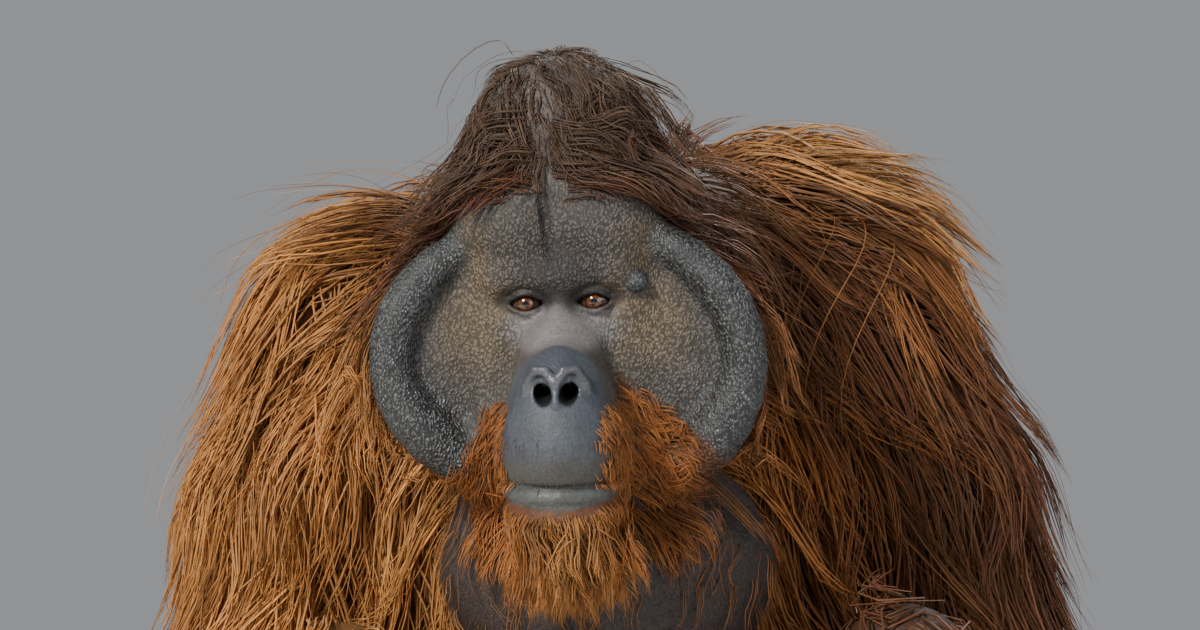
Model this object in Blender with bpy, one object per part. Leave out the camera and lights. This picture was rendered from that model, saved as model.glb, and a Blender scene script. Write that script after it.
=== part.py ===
"""Life-size adult male orangutan, sitting hunched with its rump, hands and feet on the floor.

+X is the animal's left, -Y is the way that it faces and +Z is up. The origin is on the floor,
in the middle of the flat under its rump. Each body part is a distance field made of balls and
bars, turned into a mesh, thinned, and cut clear of its neighbours. The long hair is made of
flat, tapered locks that are combed over the body and joined to the part that they grow from.
"""

import math
from collections import namedtuple

import bmesh
import bpy
import numpy as np
import openvdb
from mathutils import Euler, Matrix, Vector

# Gap between parts that touch
GAP = 0.0003

# The head: the point midway between the eyes, in metres, and how the head is turned
EYES_AT = (-0.042, -0.300, 0.620)
HEAD_TURN = (math.radians(2.0), math.radians(-2.4), math.radians(-4.0))

# Face sizes in millimetres, from the point between the eyes (x to its left, y back, z up)
MM = 0.001
EYE_SPACING = 51.0
EYE_RADIUS = 12.0
EYE_CENTRE_BACK = 12.0
PAD_CENTRE = {"left": (45.0, -48.0), "right": (-45.0, -41.0)}
PAD_REACH = {"left": 108.0, "right": 101.0}
PAD_RIM = (12.0, 14.5, 16.0, 16.5, 16.5, 16.5, 18.0, 20.0, 21.0, 20.0, 15.0)
MOUTH_HEIGHT = -131.0
LIP_ARC = (40.0, 47.0, -38.0)

# Joints, in metres
SIDES = {"left": 1.0, "right": -1.0}
SHOULDER = {"left": (0.180, 0.010, 0.605), "right": (-0.195, 0.000, 0.590)}
ELBOW = {"left": (0.306, -0.035, 0.290), "right": (-0.298, -0.045, 0.280)}
WRIST = {"left": (0.302, -0.370, 0.090), "right": (-0.296, -0.375, 0.090)}
HIP = {"left": (0.100, -0.045, 0.135), "right": (-0.100, -0.045, 0.135)}
KNEE = {"left": (0.218, -0.235, 0.345), "right": (-0.208, -0.235, 0.330)}
ANKLE = {"left": (0.170, -0.350, 0.090), "right": (-0.165, -0.350, 0.090)}

# The fields' grids, in metres: the box that holds the body and the steps on which it is searched
BODY_BOX = ((-0.45, 0.45), (-0.72, 0.30), (-0.04, 0.90))
SEARCH_STEP = 0.02
BLOCK = 4

# For each kind of part: the cell of its field's grid in metres, and its number of triangles
DETAIL = {
    "torso": (0.007, 760),
    "neck": (0.007, 220),
    "throat_pouch": (0.007, 260),
    "head": (0.0022, 2300),
    "cheek_pad": (0.003, 340),
    "ear": (0.002, 150),
    "upper_arm": (0.007, 220),
    "forearm": (0.007, 190),
    "hand": (0.0035, 430),
    "thigh": (0.007, 200),
    "shin": (0.007, 150),
    "foot": (0.0035, 430),
}

# What each part is cut clear of, in this order of building
CUT_BY = {
    "torso": [],
    "neck": ["torso"],
    "throat_pouch": ["torso", "neck"],
    "head": ["eye_left", "eye_right", "neck", "throat_pouch"],
    "cheek_pad": ["head", "neck", "throat_pouch"],
    "ear": ["head", "neck", "cheek_pad_SIDE"],
    "upper_arm": ["torso", "neck"],
    "forearm": ["upper_arm_SIDE"],
    "hand": ["forearm_SIDE"],
    "thigh": ["torso"],
    "shin": ["thigh_SIDE"],
    "foot": ["shin_SIDE"],
}
ON_FLOOR = ("torso", "hand", "foot")

# Coats by the kind of part: where a coat is rooted, how many locks it has, their length, width,
# thickness and lift of the tips in metres, and the share of a lock's length after which it hangs free
Coat = namedtuple("Coat", "where count length width thick lift free")
LOCKS = {
    "upper_arm": [Coat("all", 15, 0.20, 0.062, 0.013, 0.044, 0.8)],
    "forearm": [Coat("all", 8, 0.15, 0.058, 0.012, 0.034, 0.6)],
    "torso": [
        Coat("back", 19, 0.22, 0.076, 0.014, 0.044, 0.9),
        Coat("mantle", 9, 0.15, 0.062, 0.013, 0.046, 0.7),
    ],
    "neck": [Coat("all", 6, 0.08, 0.050, 0.011, 0.024, 0.9)],
    "head": [
        Coat("scalp", 17, 0.13, 0.048, 0.011, 0.034, 0.8),
        Coat("beard", 9, 0.085, 0.036, 0.011, 0.022, 0.2),
        Coat("whiskers", 6, 0.06, 0.028, 0.009, 0.014, 0.5),
    ],
    "thigh": [Coat("all", 5, 0.11, 0.054, 0.011, 0.028, 0.8)],
    "shin": [Coat("all", 5, 0.11, 0.046, 0.010, 0.024, 0.8)],
}
ROOT_DEPTH = 0.012
COMB_STEPS = 12
SECTIONS = (0.0, 0.25, 0.62, 1.0)
SECTION_WIDTHS = (0.80, 1.0, 0.85, 0.10)
SECTION_THICKNESS = (1.0, 1.0, 0.75, 0.12)
CLEARANCE = 0.004
BORDER = 0.003
SEED = 41
ATTEMPTS = 8
MERGES = (0.0001, 0.00004, 0.000005)

# Colours
HAIR_ORANGE = (0.36, 0.12, 0.03, 1.0)
HAIR_DARK = (0.13, 0.045, 0.018, 1.0)
SKIN_GREY = (0.10, 0.10, 0.11, 1.0)
SKIN_PALE = (0.20, 0.17, 0.13, 1.0)
SKIN_DARK = (0.05, 0.045, 0.045, 1.0)
EYE_AMBER = (0.30, 0.11, 0.02, 1.0)
MATERIALS = {
    "torso": ("orange_hair", HAIR_ORANGE, 0.8),
    "neck": ("dark_hair", HAIR_DARK, 0.8),
    "head": ("grey_skin", SKIN_GREY, 0.5),
    "throat_pouch": ("grey_skin", SKIN_GREY, 0.5),
    "cheek_pad": ("pale_skin", SKIN_PALE, 0.6),
    "ear": ("grey_skin", SKIN_GREY, 0.5),
    "eye": ("amber_eye", EYE_AMBER, 0.1),
    "upper_arm": ("orange_hair", HAIR_ORANGE, 0.8),
    "forearm": ("orange_hair", HAIR_ORANGE, 0.8),
    "thigh": ("orange_hair", HAIR_ORANGE, 0.8),
    "shin": ("orange_hair", HAIR_ORANGE, 0.8),
    "hand": ("dark_skin", SKIN_DARK, 0.5),
    "foot": ("dark_skin", SKIN_DARK, 0.5),
}


def ball(centre, radii, turn=(0.0, 0.0, 0.0)):
    """The field of an ellipsoid, turned by Euler angles in degrees."""
    centre = np.array(centre, float)
    radii = np.array(radii, float)
    axes = np.array(Euler([math.radians(t) for t in turn]).to_matrix())

    def field(points):
        local = (points - centre) @ axes
        near = np.linalg.norm(local / radii, axis=-1)
        slope = np.linalg.norm(local / radii**2, axis=-1)
        return near * (near - 1.0) / np.maximum(slope, 1e-9)

    return field


def bar(start, end, start_radius, end_radius):
    """The field of a round bar that tapers from one radius to the other."""
    start = np.array(start, float)
    along = np.array(end, float) - start

    def field(points):
        from_start = points - start
        share = np.clip(from_start @ along / (along @ along), 0.0, 1.0)
        away = np.linalg.norm(from_start - share[..., None] * along, axis=-1)
        return away - (start_radius + (end_radius - start_radius) * share)

    return field


def chain(stations, radii):
    """The field of bars joined end to end through the stations."""
    if np.isscalar(radii):
        radii = [radii] * len(stations)
    links = zip(stations[:-1], stations[1:], radii[:-1], radii[1:])
    bars = [bar(*link) for link in links]
    return lambda points: np.minimum.reduce([b(points) for b in bars])


def slab(centre, half_sizes, edge):
    """The field of a block with its edges rounded by the edge radius."""
    centre = np.array(centre, float)
    half_sizes = np.array(half_sizes, float)

    def field(points):
        over = np.abs(points - centre) - half_sizes
        outside = np.linalg.norm(np.maximum(over, 0.0), axis=-1)
        return outside + np.minimum(over.max(axis=-1), 0.0) - edge

    return field


def smooth_min(first, second, width):
    share = np.clip(0.5 + 0.5 * (second - first) / width, 0.0, 1.0)
    return second + (first - second) * share - width * share * (1.0 - share)


def blend(shapes, width):
    """The union of shapes, with their creases filled over the width."""

    def field(points):
        distance = shapes[0](points)
        for shape in shapes[1:]:
            distance = smooth_min(distance, shape(points), width)
        return distance

    return field


def hollow(solid, tool, width):
    """The solid with the tool taken out of it, and the edge rounded over the width."""
    return lambda points: -smooth_min(-solid(points), tool(points), width)


def head_place():
    return Matrix.Translation(EYES_AT) @ Euler(HEAD_TURN).to_matrix().to_4x4()


def in_head(field):
    """A field in the face's millimetres as a field in the model's metres."""
    to_face = np.array(head_place().inverted())

    def placed(points):
        return field((points @ to_face[:3, :3].T + to_face[:3, 3]) / MM) * MM

    return placed


def mirrored(x, y, z):
    return [(x, y, z), (-x, y, z)]


def lip_line(share, height, outward=0.0):
    """A point on the lips' curve. Share runs from -1 to 1, corner to corner."""
    half_width, depth, back = LIP_ARC
    angle = math.radians(82.0) * share
    return (
        (half_width + outward) * math.sin(angle),
        back - (depth + outward) * math.cos(angle),
        MOUTH_HEIGHT + height + 5.0 * share**2,
    )


def skull_field():
    """Cranium, crown, forehead, cheeks, muzzle and jaw, with no small forms."""
    shapes = [
        ball((0, 104, 48), (86, 90, 84)),
        ball((0, 74, 118), (76, 70, 78)),
        ball((0, 60, 78), (88, 58, 56)),
        ball((-58, 76, 100), (54, 52, 62)),
        ball((58, 76, 100), (54, 52, 62)),
        slab((0, 36, -34), (44, 8, 50), 24),
        ball((0, 52, -44), (84, 34, 84)),
    ]
    for x in (-33, 31):
        shapes.append(ball((x, 32, 56), (46, 42, 40)))
    shapes.append(bar((-42, 12, 22), (42, 12, 23), 15, 15))
    shapes.append(ball((0, 4, 18), (18, 13, 13)))
    shapes.append(bar((0, 26, -12), (0, -20, -64), 26, 38))
    shapes.append(ball((0, -46, -58), (26, 30, 26)))
    shapes.append(ball((0, -44, -104), (44, 52, 54)))
    shapes.append(bar((0, -34, -110), (0, 40, -96), 41, 62))
    shapes.append(ball((0, -36, -150), (42, 46, 33)))
    for x, y, z in mirrored(40, 40, -112):
        shapes.append(ball((x, y, z), (42, 50, 46)))
    return blend(shapes, 15.0)


def face_field():
    """The whole head with lids, lips, nose and mouth, in the face's millimetres."""
    shares = np.linspace(-1.0, 1.0, 13)
    lower_lip = chain([lip_line(s * 0.98, -8.0, -1.0) for s in shares], 7.5)
    head = blend([skull_field(), lower_lip], 5.0)
    mouth = [lip_line(s, 0.0, 5.0) for s in shares]
    x, y, z = lip_line(1.0, 18.0, 14.0)
    mouth = [(-x, y + 26.0, z), *mouth, (x, y + 26.0, z)]
    head = hollow(head, chain(mouth, 2.0), 2.0)
    for x in (-1.0, 1.0):
        rim = [(22, -60, -66), (21, -66, -56), (14, -71, -45), (6, -75, -45), (1, -78, -52)]
        head = blend([head, chain([(x * a, b, c) for a, b, c in rim], [4, 4.5, 4.5, 4, 4])], 4.0)
    head = blend([head, bar((0, -79, -53), (0, -84, -68), 3.2, 3.0)], 3.0)
    for x in (-1.0, 1.0):
        nostril = [(12 * x, -94, -52), (9.5 * x, -96, -64), (10 * x, -60, -57)]
        head = hollow(head, chain(nostril, [6.0, 6.4, 5.2]), 2.0)
        eye = (EYE_SPACING / 2 * x, EYE_CENTRE_BACK, 0.0)
        head = hollow(head, ball((29 * x, -6, -1), (19, 13, 9)), 9.0)
        head = blend([head, ball(eye, (15.6, 14.4, 14.2))], 6.0)
        head = hollow(head, eye_opening(eye), 1.4)
    groove = chain([(-9, -15, 100), (-8, -15, 74), (-5, -16, 52), (-4, -14, 36)], [4, 6, 6, 3])
    return hollow(head, groove, 7.0)


def eye_opening(eye):
    """The lens between the lids, just in front of an eyeball."""
    half_width, upper, lower = 14.5, 6.2, 5.6

    def field(points):
        local = points - np.array(eye)
        across = np.clip(1.0 - (local[..., 0] / half_width) ** 2, -1.0, 1.0)
        above = local[..., 2] - upper * across
        below = -lower * across - local[..., 2]
        away = np.linalg.norm(local, axis=-1)
        return np.maximum.reduce([above, below, local[..., 1] + 4.0, away - 22.0])

    return field


def pad_field(side):
    """A cheek pad: a dished half disc with a thick rolled rim."""
    x, z = PAD_CENTRE[side]
    sign = SIDES[side]
    rim = []
    for degrees, radius in zip(np.linspace(70.0, -76.0, 11), PAD_RIM):
        angle = math.radians(degrees)
        reach = PAD_REACH[side] - radius
        back = 10.0 + 16.0 * abs(degrees / 80.0) ** 3
        rim.append((x + sign * reach * math.cos(angle), back, z + reach * math.sin(angle)))
    dish = ball((x + sign * 30.0, 32, z), (68, 22, 90))
    return blend([chain(rim, PAD_RIM), dish], 11.0)


def ear_field(side):
    sign = SIDES[side]
    shell = ball((sign * 87, 100, 4), (10, 15, 21), (0, 0, sign * 20))
    cup = ball((sign * 98, 95, 4), (8, 9, 14), (0, 0, sign * 20))
    return hollow(shell, cup, 2.0)


def along(start, end, share, shift=(0.0, 0.0, 0.0)):
    """The point that lies this share of the way from start to end, moved by shift."""
    return tuple(a + (b - a) * share + s for a, b, s in zip(start, end, shift))


def torso_field():
    shapes = [
        ball((0, 0.030, 0.128), (0.180, 0.155, 0.134)),
        ball((0, -0.050, 0.240), (0.192, 0.175, 0.185)),
        ball((0, -0.015, 0.440), (0.200, 0.150, 0.200)),
        ball((0, 0.060, 0.520), (0.180, 0.110, 0.170)),
        ball((0.110, 0.045, 0.655), (0.112, 0.095, 0.100)),
        ball((-0.110, 0.045, 0.620), (0.108, 0.090, 0.086)),
    ]
    for side, sign in SIDES.items():
        x, y, z = SHOULDER[side]
        shapes.append(ball((x * 0.70, y, z), (0.085, 0.085, 0.085)))
    return blend(shapes, 0.05)


def neck_field():
    shapes = [
        bar((-0.005, -0.010, 0.605), (-0.035, -0.170, 0.640), 0.110, 0.076),
        ball((0.010, -0.060, 0.640), (0.135, 0.100, 0.105)),
    ]
    return blend(shapes, 0.03)


def pouch_field():
    shapes = [
        ball((-0.006, -0.195, 0.415), (0.130, 0.096, 0.105)),
        ball((-0.030, -0.200, 0.505), (0.085, 0.075, 0.070)),
    ]
    return blend(shapes, 0.04)


def upper_arm_field(side):
    shoulder, elbow = SHOULDER[side], ELBOW[side]
    out = 0.012 * SIDES[side]
    shapes = [
        bar(shoulder, along(shoulder, elbow, 0.45, (out, 0, 0)), 0.092, 0.070),
        bar(along(shoulder, elbow, 0.45, (out, 0, 0)), elbow, 0.066, 0.052),
    ]
    return blend(shapes, 0.03)


def forearm_field(side):
    elbow, wrist = ELBOW[side], WRIST[side]
    shapes = [
        bar(elbow, along(elbow, wrist, 0.3), 0.045, 0.046),
        bar(along(elbow, wrist, 0.3), wrist, 0.046, 0.031),
    ]
    return blend(shapes, 0.03)


def thigh_field(side):
    hip, knee = HIP[side], KNEE[side]
    middle = along(hip, knee, 0.5)
    return blend([bar(hip, middle, 0.096, 0.068), bar(middle, knee, 0.068, 0.060)], 0.02)


def shin_field(side):
    knee, ankle = KNEE[side], ANKLE[side]
    calf = along(knee, ankle, 0.35, (0, 0.015, 0))
    return blend([bar(knee, calf, 0.044, 0.052), bar(calf, ankle, 0.050, 0.034)], 0.03)


def palm_place(side, sign):
    """The hand's own axes: x across towards the thumb side, y along the fingers, z up."""
    wrist = Vector(WRIST[side])
    return Matrix.Translation(wrist) @ Matrix.Rotation(math.radians(180.0 - 6.0 * sign), 4, "Z")


def digit(root, yaw, lengths, radii, lift, place):
    """A finger or toe: bones that rise from the root and curl down to the floor."""
    points = [Vector(root)]
    for length, pitch in zip(lengths, lift):
        yawed = math.radians(yaw)
        pitched = math.radians(pitch)
        level = Vector((math.sin(yawed), math.cos(yawed), 0.0)) * math.cos(pitched)
        points.append(points[-1] + (level + Vector((0.0, 0.0, math.sin(pitched)))) * length)
    return chain([tuple(place @ p) for p in points], radii)


def hand_field(side):
    inner = SIDES[side]
    place = palm_place(side, inner)
    shapes = [
        bar(place @ Vector((0, -0.02, 0.0)), place @ Vector((0, 0.030, -0.050)), 0.030, 0.030),
        ball(tuple(place @ Vector((0, 0.055, -0.064))), (0.045, 0.060, 0.031), (10, 0, 0)),
    ]
    for i, length in enumerate((0.050, 0.056, 0.054, 0.046)):
        x = (i - 1.5) * 0.022 * inner
        lengths = (length, length * 0.72, length * 0.50)
        yaw = (i - 1.5) * 5.0 * inner
        radii = (0.0150, 0.0140, 0.0125, 0.0115)
        shapes.append(digit((x, 0.095, -0.070), yaw, lengths, radii, (12, -10, -34), place))
    root = (-0.036 * inner, 0.030, -0.068)
    shapes.append(digit(root, -42.0 * inner, (0.034, 0.026), (0.016, 0.0130, 0.0105), (-8, -12), place))
    return blend(shapes, 0.010)


def foot_place(side, sign):
    ankle = Vector(ANKLE[side])
    turn = Matrix.Rotation(math.radians(180.0 - 8.0 * sign), 4, "Z")
    return Matrix.Translation((ankle.x, ankle.y, 0.0)) @ turn


def foot_field(side):
    inner = SIDES[side]
    place = foot_place(side, inner)
    ankle = Vector(ANKLE[side])
    shapes = [
        bar(tuple(ankle), place @ Vector((0, 0.010, 0.055)), 0.034, 0.034),
        ball(tuple(place @ Vector((0, -0.032, 0.032))), (0.034, 0.040, 0.034)),
        ball(tuple(place @ Vector((0, 0.060, 0.036))), (0.044, 0.085, 0.038)),
    ]
    for i, length in enumerate((0.046, 0.052, 0.050, 0.042)):
        x = (i - 1.5) * 0.021 * -inner
        lengths = (length, length * 0.75, length * 0.50)
        yaw = (1.5 - i) * 4.0 * inner
        radii = (0.0155, 0.0145, 0.0125, 0.0105)
        shapes.append(digit((x, 0.120, 0.030), yaw, lengths, radii, (10, -10, -26), place))
    root = (0.038 * inner, 0.030, 0.028)
    shapes.append(digit(root, 48.0 * inner, (0.030, 0.024), (0.017, 0.0135, 0.011), (-6, -10), place))
    return blend(shapes, 0.010)


def body_fields():
    fields = {
        "torso": torso_field(),
        "neck": neck_field(),
        "throat_pouch": pouch_field(),
        "head": in_head(face_field()),
    }
    for side in SIDES:
        fields["cheek_pad_" + side] = in_head(pad_field(side))
        fields["ear_" + side] = in_head(ear_field(side))
        fields["upper_arm_" + side] = upper_arm_field(side)
        fields["forearm_" + side] = forearm_field(side)
        fields["hand_" + side] = hand_field(side)
        fields["thigh_" + side] = thigh_field(side)
        fields["shin_" + side] = shin_field(side)
        fields["foot_" + side] = foot_field(side)
    return fields


def kind_of(name):
    """The part's name with its side left off."""
    return name.removesuffix("_left").removesuffix("_right")


def field_box(name, field):
    """The box that holds a part, found on a coarse grid over the whole body, with a margin."""
    axes = [np.arange(low, high, SEARCH_STEP) for low, high in BODY_BOX]
    grid = np.stack(np.meshgrid(*axes, indexing="ij"), axis=-1).reshape(-1, 3)
    inside = grid[field(grid) < SEARCH_STEP]
    return inside.min(axis=0) - SEARCH_STEP, inside.max(axis=0) + SEARCH_STEP


def mesh_from_field(name, field, cell):
    """The surface where the field is zero. Only the blocks of cells near it are sampled finely."""
    low, high = field_box(name, field)
    blocks = np.ceil((high - low) / (cell * BLOCK)).astype(int)
    axes = [low[i] + cell * (BLOCK * np.arange(blocks[i]) + (BLOCK - 1) / 2) for i in range(3)]
    coarse = field(np.stack(np.meshgrid(*axes, indexing="ij"), axis=-1))
    values = coarse.repeat(BLOCK, 0).repeat(BLOCK, 1).repeat(BLOCK, 2)
    near = np.argwhere(np.abs(coarse) < 1.6 * cell * BLOCK)
    steps = np.stack(np.meshgrid(*[np.arange(BLOCK)] * 3, indexing="ij"), axis=-1).reshape(-1, 3)
    cells = (near[:, None, :] * BLOCK + steps).reshape(-1, 3)
    values[tuple(cells.T)] = field(low + cell * cells)
    volume = openvdb.FloatGrid(1.0)
    volume.copyFromArray(values.astype(np.float32))
    points, quads = volume.convertToQuads(0.0)
    mesh = bpy.data.meshes.new(name)
    mesh.from_pydata((points * cell + low).tolist(), [], quads.tolist())
    mesh.update()
    return mesh


def add_object(name, mesh, collection):
    thing = bpy.data.objects.new(name, mesh)
    collection.objects.link(thing)
    return thing


def apply_modifiers(thing):
    """Replace the object's mesh by what its modifiers make of it."""
    bpy.context.view_layer.update()
    graph = bpy.context.evaluated_depsgraph_get()
    mesh = bpy.data.meshes.new_from_object(thing.evaluated_get(graph))
    thing.modifiers.clear()
    old = thing.data
    thing.data = mesh
    bpy.data.meshes.remove(old)


def thin_out(thing, triangles):
    """Collapse edges until the mesh has about this many triangles."""
    thing.data.calc_loop_triangles()
    decimate = thing.modifiers.new("thin", "DECIMATE")
    decimate.ratio = min(1.0, triangles / len(thing.data.loop_triangles))
    decimate.use_collapse_triangulate = True
    apply_modifiers(thing)


def triangulated(mesh):
    """The mesh's triangles with its slivers merged, by the first way that leaves a clean surface."""
    for merge in MERGES:
        for method in ("EAR_CLIP", "BEAUTY"):
            shape = bmesh.new()
            shape.from_mesh(mesh)
            bmesh.ops.remove_doubles(shape, verts=shape.verts, dist=merge)
            bmesh.ops.dissolve_degenerate(shape, edges=shape.edges, dist=merge)
            bmesh.ops.triangulate(shape, faces=shape.faces, ngon_method=method)
            flat = any(face.calc_area() < 1e-12 for face in shape.faces)
            if not flat and all(len(edge.link_faces) == 2 for edge in shape.edges):
                return shape
            shape.free()
    return None


def keep_largest(thing):
    """Triangulate the mesh and keep its largest piece. False if it has an open or shared edge."""
    shape = triangulated(thing.data)
    if shape is None:
        return False
    left = set(shape.faces)
    pieces = []
    while left:
        piece = [left.pop()]
        for face in piece:
            for edge in face.edges:
                for other in edge.link_faces:
                    if other in left:
                        left.remove(other)
                        piece.append(other)
        pieces.append(piece)
    pieces.sort(key=lambda piece: -sum(face.calc_area() for face in piece))
    loose = [face for piece in pieces[1:] for face in piece]
    bmesh.ops.delete(shape, geom=loose, context="FACES")
    shape.to_mesh(thing.data)
    shape.free()
    return True


def combine(thing, other, operation):
    """One Boolean of an object or a collection of objects on the thing. False if it isn't clean."""
    step = thing.modifiers.new(operation.lower(), "BOOLEAN")
    step.operation = operation
    if isinstance(other, bpy.types.Collection):
        step.operand_type = "COLLECTION"
        step.collection = other
    else:
        step.object = other
    step.solver = "MANIFOLD"
    apply_modifiers(thing)
    return keep_largest(thing)


def helper(name, mesh, helpers):
    thing = add_object(name, mesh, helpers)
    thing.hide_render = True
    thing.display_type = "WIRE"
    return thing


def floor_block(helpers):
    shape = bmesh.new()
    bmesh.ops.create_cube(shape, size=2.0, matrix=Matrix.Translation((0, 0, -1.0)))
    mesh = bpy.data.meshes.new("floor_block")
    shape.to_mesh(mesh)
    shape.free()
    return helper("floor_block", mesh, helpers)


def cut_clear(thing, neighbour, helpers):
    """Cut the neighbour, grown by the gap, out of the thing."""
    cutter = helper("around_" + neighbour.name, neighbour.data.copy(), helpers)
    grow = cutter.modifiers.new("gap", "DISPLACE")
    grow.strength = GAP
    grow.mid_level = 0.0
    clean = combine(thing, cutter, "DIFFERENCE")
    bpy.data.objects.remove(cutter)
    if not clean:
        raise RuntimeError("the cut of {} by {} isn't clean".format(thing.name, neighbour.name))


def make_eye(side, collection):
    sign = SIDES[side]
    centre = head_place() @ Vector((EYE_SPACING / 2 * sign * MM, EYE_CENTRE_BACK * MM, 0.0))
    shape = bmesh.new()
    bmesh.ops.create_uvsphere(shape, u_segments=14, v_segments=9, radius=EYE_RADIUS * MM)
    bmesh.ops.translate(shape, verts=shape.verts, vec=centre)
    mesh = bpy.data.meshes.new("eye_" + side)
    shape.to_mesh(mesh)
    shape.free()
    return add_object("eye_" + side, mesh, collection)


def unit(vectors):
    return vectors / np.maximum(np.linalg.norm(vectors, axis=-1, keepdims=True), 1e-9)


def slope_of(field, points):
    """The direction in which the field grows."""
    reach = 0.002
    sides = []
    for axis in range(3):
        shift = np.zeros(3)
        shift[axis] = reach
        sides.append(field(points + shift) - field(points - shift))
    return unit(np.stack(sides, axis=-1))


def to_face(points):
    """Points in the face's millimetres."""
    matrix = np.array(head_place().inverted())
    return (points @ matrix[:3, :3].T + matrix[:3, 3]) / MM


def from_face(vectors):
    """Directions in the face's axes as directions in the model."""
    return vectors @ np.array(head_place())[:3, :3].T


def hair_flow(name, where, points):
    """Which way the hair lies at the points."""
    side = "left" if name.endswith("left") else "right"
    sign = SIDES[side]
    kind = kind_of(name)
    level = np.zeros(len(points))
    down = np.stack([level, level, level - 1.0], axis=-1)
    if kind == "upper_arm":
        bone = np.array(ELBOW[side]) - np.array(SHOULDER[side])
        return unit(bone) + 0.3 * down + np.array((0.15 * sign, 0.0, 0.0))
    if kind == "forearm":
        bone = np.array(ELBOW[side]) - np.array(WRIST[side])
        return 0.45 * unit(bone) + 0.9 * down
    if kind == "thigh":
        bone = np.array(KNEE[side]) - np.array(HIP[side])
        return 0.6 * unit(bone) + 0.7 * down
    if kind == "neck":
        return down + np.stack([points[:, 0] * 8.0, level + 0.5, level], axis=-1)
    if kind == "torso":
        out = np.stack([points[:, 0] * 6.0, level + 0.3, level], axis=-1)
        high = np.clip((points[:, 2:] - 0.52) / 0.12, 0.0, 1.0)
        return down + out * (0.15 + 0.85 * high)
    if kind == "head":
        face = to_face(points)
        if where == "scalp":
            fall = -0.9 * np.abs(face[:, 0]) - 40.0
            out = np.stack([face[:, 0] * 1.5, face[:, 1] - 50.0, fall], axis=-1)
        elif where == "beard":
            out = np.stack([face[:, 0] * 0.7, level - 12.0, level - 60.0], axis=-1)
        else:
            out = np.stack([face[:, 0] * 1.2, level + 6.0, level - 60.0], axis=-1)
        return from_face(unit(out))
    return down


def grows_hair(name, where, points, normals):
    """Where on a part its locks are rooted."""
    height = points[:, 2]
    if where == "back":
        return (normals[:, 1] > -0.25) & (height > 0.10) & (height < 0.66)
    if where == "mantle":
        return (height > 0.60) & (normals[:, 2] > -0.1)
    face = to_face(points)
    if where == "scalp":
        behind = (face[:, 1] > 30.0) & (face[:, 2] > -20.0)
        above = (face[:, 2] > 92.0) & ((np.abs(face[:, 0]) > 48.0) | (face[:, 1] > 60.0))
        return behind | above
    if where == "beard":
        return (face[:, 2] < -148.0) & (face[:, 1] < 20.0)
    if where == "whiskers":
        beside = (np.abs(face[:, 0]) > 40.0) & (face[:, 2] < -84.0)
        return beside & (face[:, 2] > -140.0) & (face[:, 1] < 14.0)
    return height > 0.06


def pick_roots(thing, name, where, wanted, seed):
    """Spread the wanted number of roots evenly over the part of the mesh that grows hair."""
    mesh = thing.data
    mesh.calc_loop_triangles()
    corners = np.array([[mesh.vertices[i].co for i in t.vertices] for t in mesh.loop_triangles])
    cross = np.cross(corners[:, 1] - corners[:, 0], corners[:, 2] - corners[:, 0])
    area = np.linalg.norm(cross, axis=1)
    random = np.random.default_rng(seed)
    picks = random.choice(len(area), 4000, p=area / area.sum())
    shares = np.sort(random.random((4000, 2)), axis=1)
    weights = np.stack([shares[:, 0], shares[:, 1] - shares[:, 0], 1.0 - shares[:, 1]], axis=1)
    points = np.einsum("nk,nkd->nd", weights, corners[picks])
    normals = unit(cross[picks])
    grows = grows_hair(name, where, points, normals)
    points = points[grows]
    chosen = [0]
    away = np.linalg.norm(points - points[0], axis=1)
    while len(chosen) < min(wanted, len(points)):
        chosen.append(int(away.argmax()))
        away = np.minimum(away, np.linalg.norm(points - points[chosen[-1]], axis=1))
    return points[chosen]


def comb(name, roots, coat, body, random):
    """The paths of the locks: out of the skin, over the body along the hair's lie, and down."""
    count = len(roots)
    lengths = coat.length * random.uniform(0.8, 1.15, (count, 1))
    lifts = coat.lift * random.uniform(0.9, 1.1, count)
    curl = random.normal(0.0, 0.35, (count, 1))
    out = slope_of(body, roots)
    heading = hair_flow(name, coat.where, roots)
    heading = unit(heading - out * (heading * out).sum(-1, keepdims=True))
    point = roots - out * ROOT_DEPTH - heading * 0.3 * ROOT_DEPTH
    path = [point]
    for step in range(1, COMB_STEPS + 1):
        share = step / COMB_STEPS
        out = slope_of(body, point)
        across = np.cross(out, heading)
        want = hair_flow(name, coat.where, point) + across * curl * math.sin(4.0 * share)
        if share <= coat.free:
            want = want - out * (want * out).sum(-1, keepdims=True)
        heading = unit(0.55 * heading + 0.45 * unit(want + np.array((0.0, 0.0, -0.5 * share))))
        point = point + heading * lengths / COMB_STEPS
        rise = -ROOT_DEPTH + (lifts + ROOT_DEPTH) * share**0.8
        out = slope_of(body, point)
        push = rise - body(point)
        if share > coat.free:
            push = np.maximum(push, 0.0)
        point = point + out * push[:, None] * 0.8
        path.append(point)
    return np.stack(path, axis=1)


def lock_corners(paths, coat, body, reach, tilts):
    """The locks' section corners, for locks that stop at this share of their path."""
    corners = []
    steps = np.arange(paths.shape[1]) / (paths.shape[1] - 1)
    for section, width, thick in zip(SECTIONS, SECTION_WIDTHS, SECTION_THICKNESS):
        share = section * reach
        place = min(int(share * COMB_STEPS), COMB_STEPS - 1)
        part = share * COMB_STEPS - place
        middle = paths[:, place] * (1.0 - part) + paths[:, place + 1] * part
        ahead = unit(paths[:, place + 1] - paths[:, place])
        out = slope_of(body, middle)
        across = unit(np.cross(ahead, out))
        out = np.cross(across, ahead)
        across = unit(across + out * tilts[:, None])
        half = across * coat.width * width / 2
        base = middle - out * coat.thick * thick * 0.35
        ridge = middle + out * coat.thick * thick * 0.65
        corners.append(np.stack([base - half, base + half, ridge], axis=1))
    return np.stack(corners, axis=1)


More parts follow.
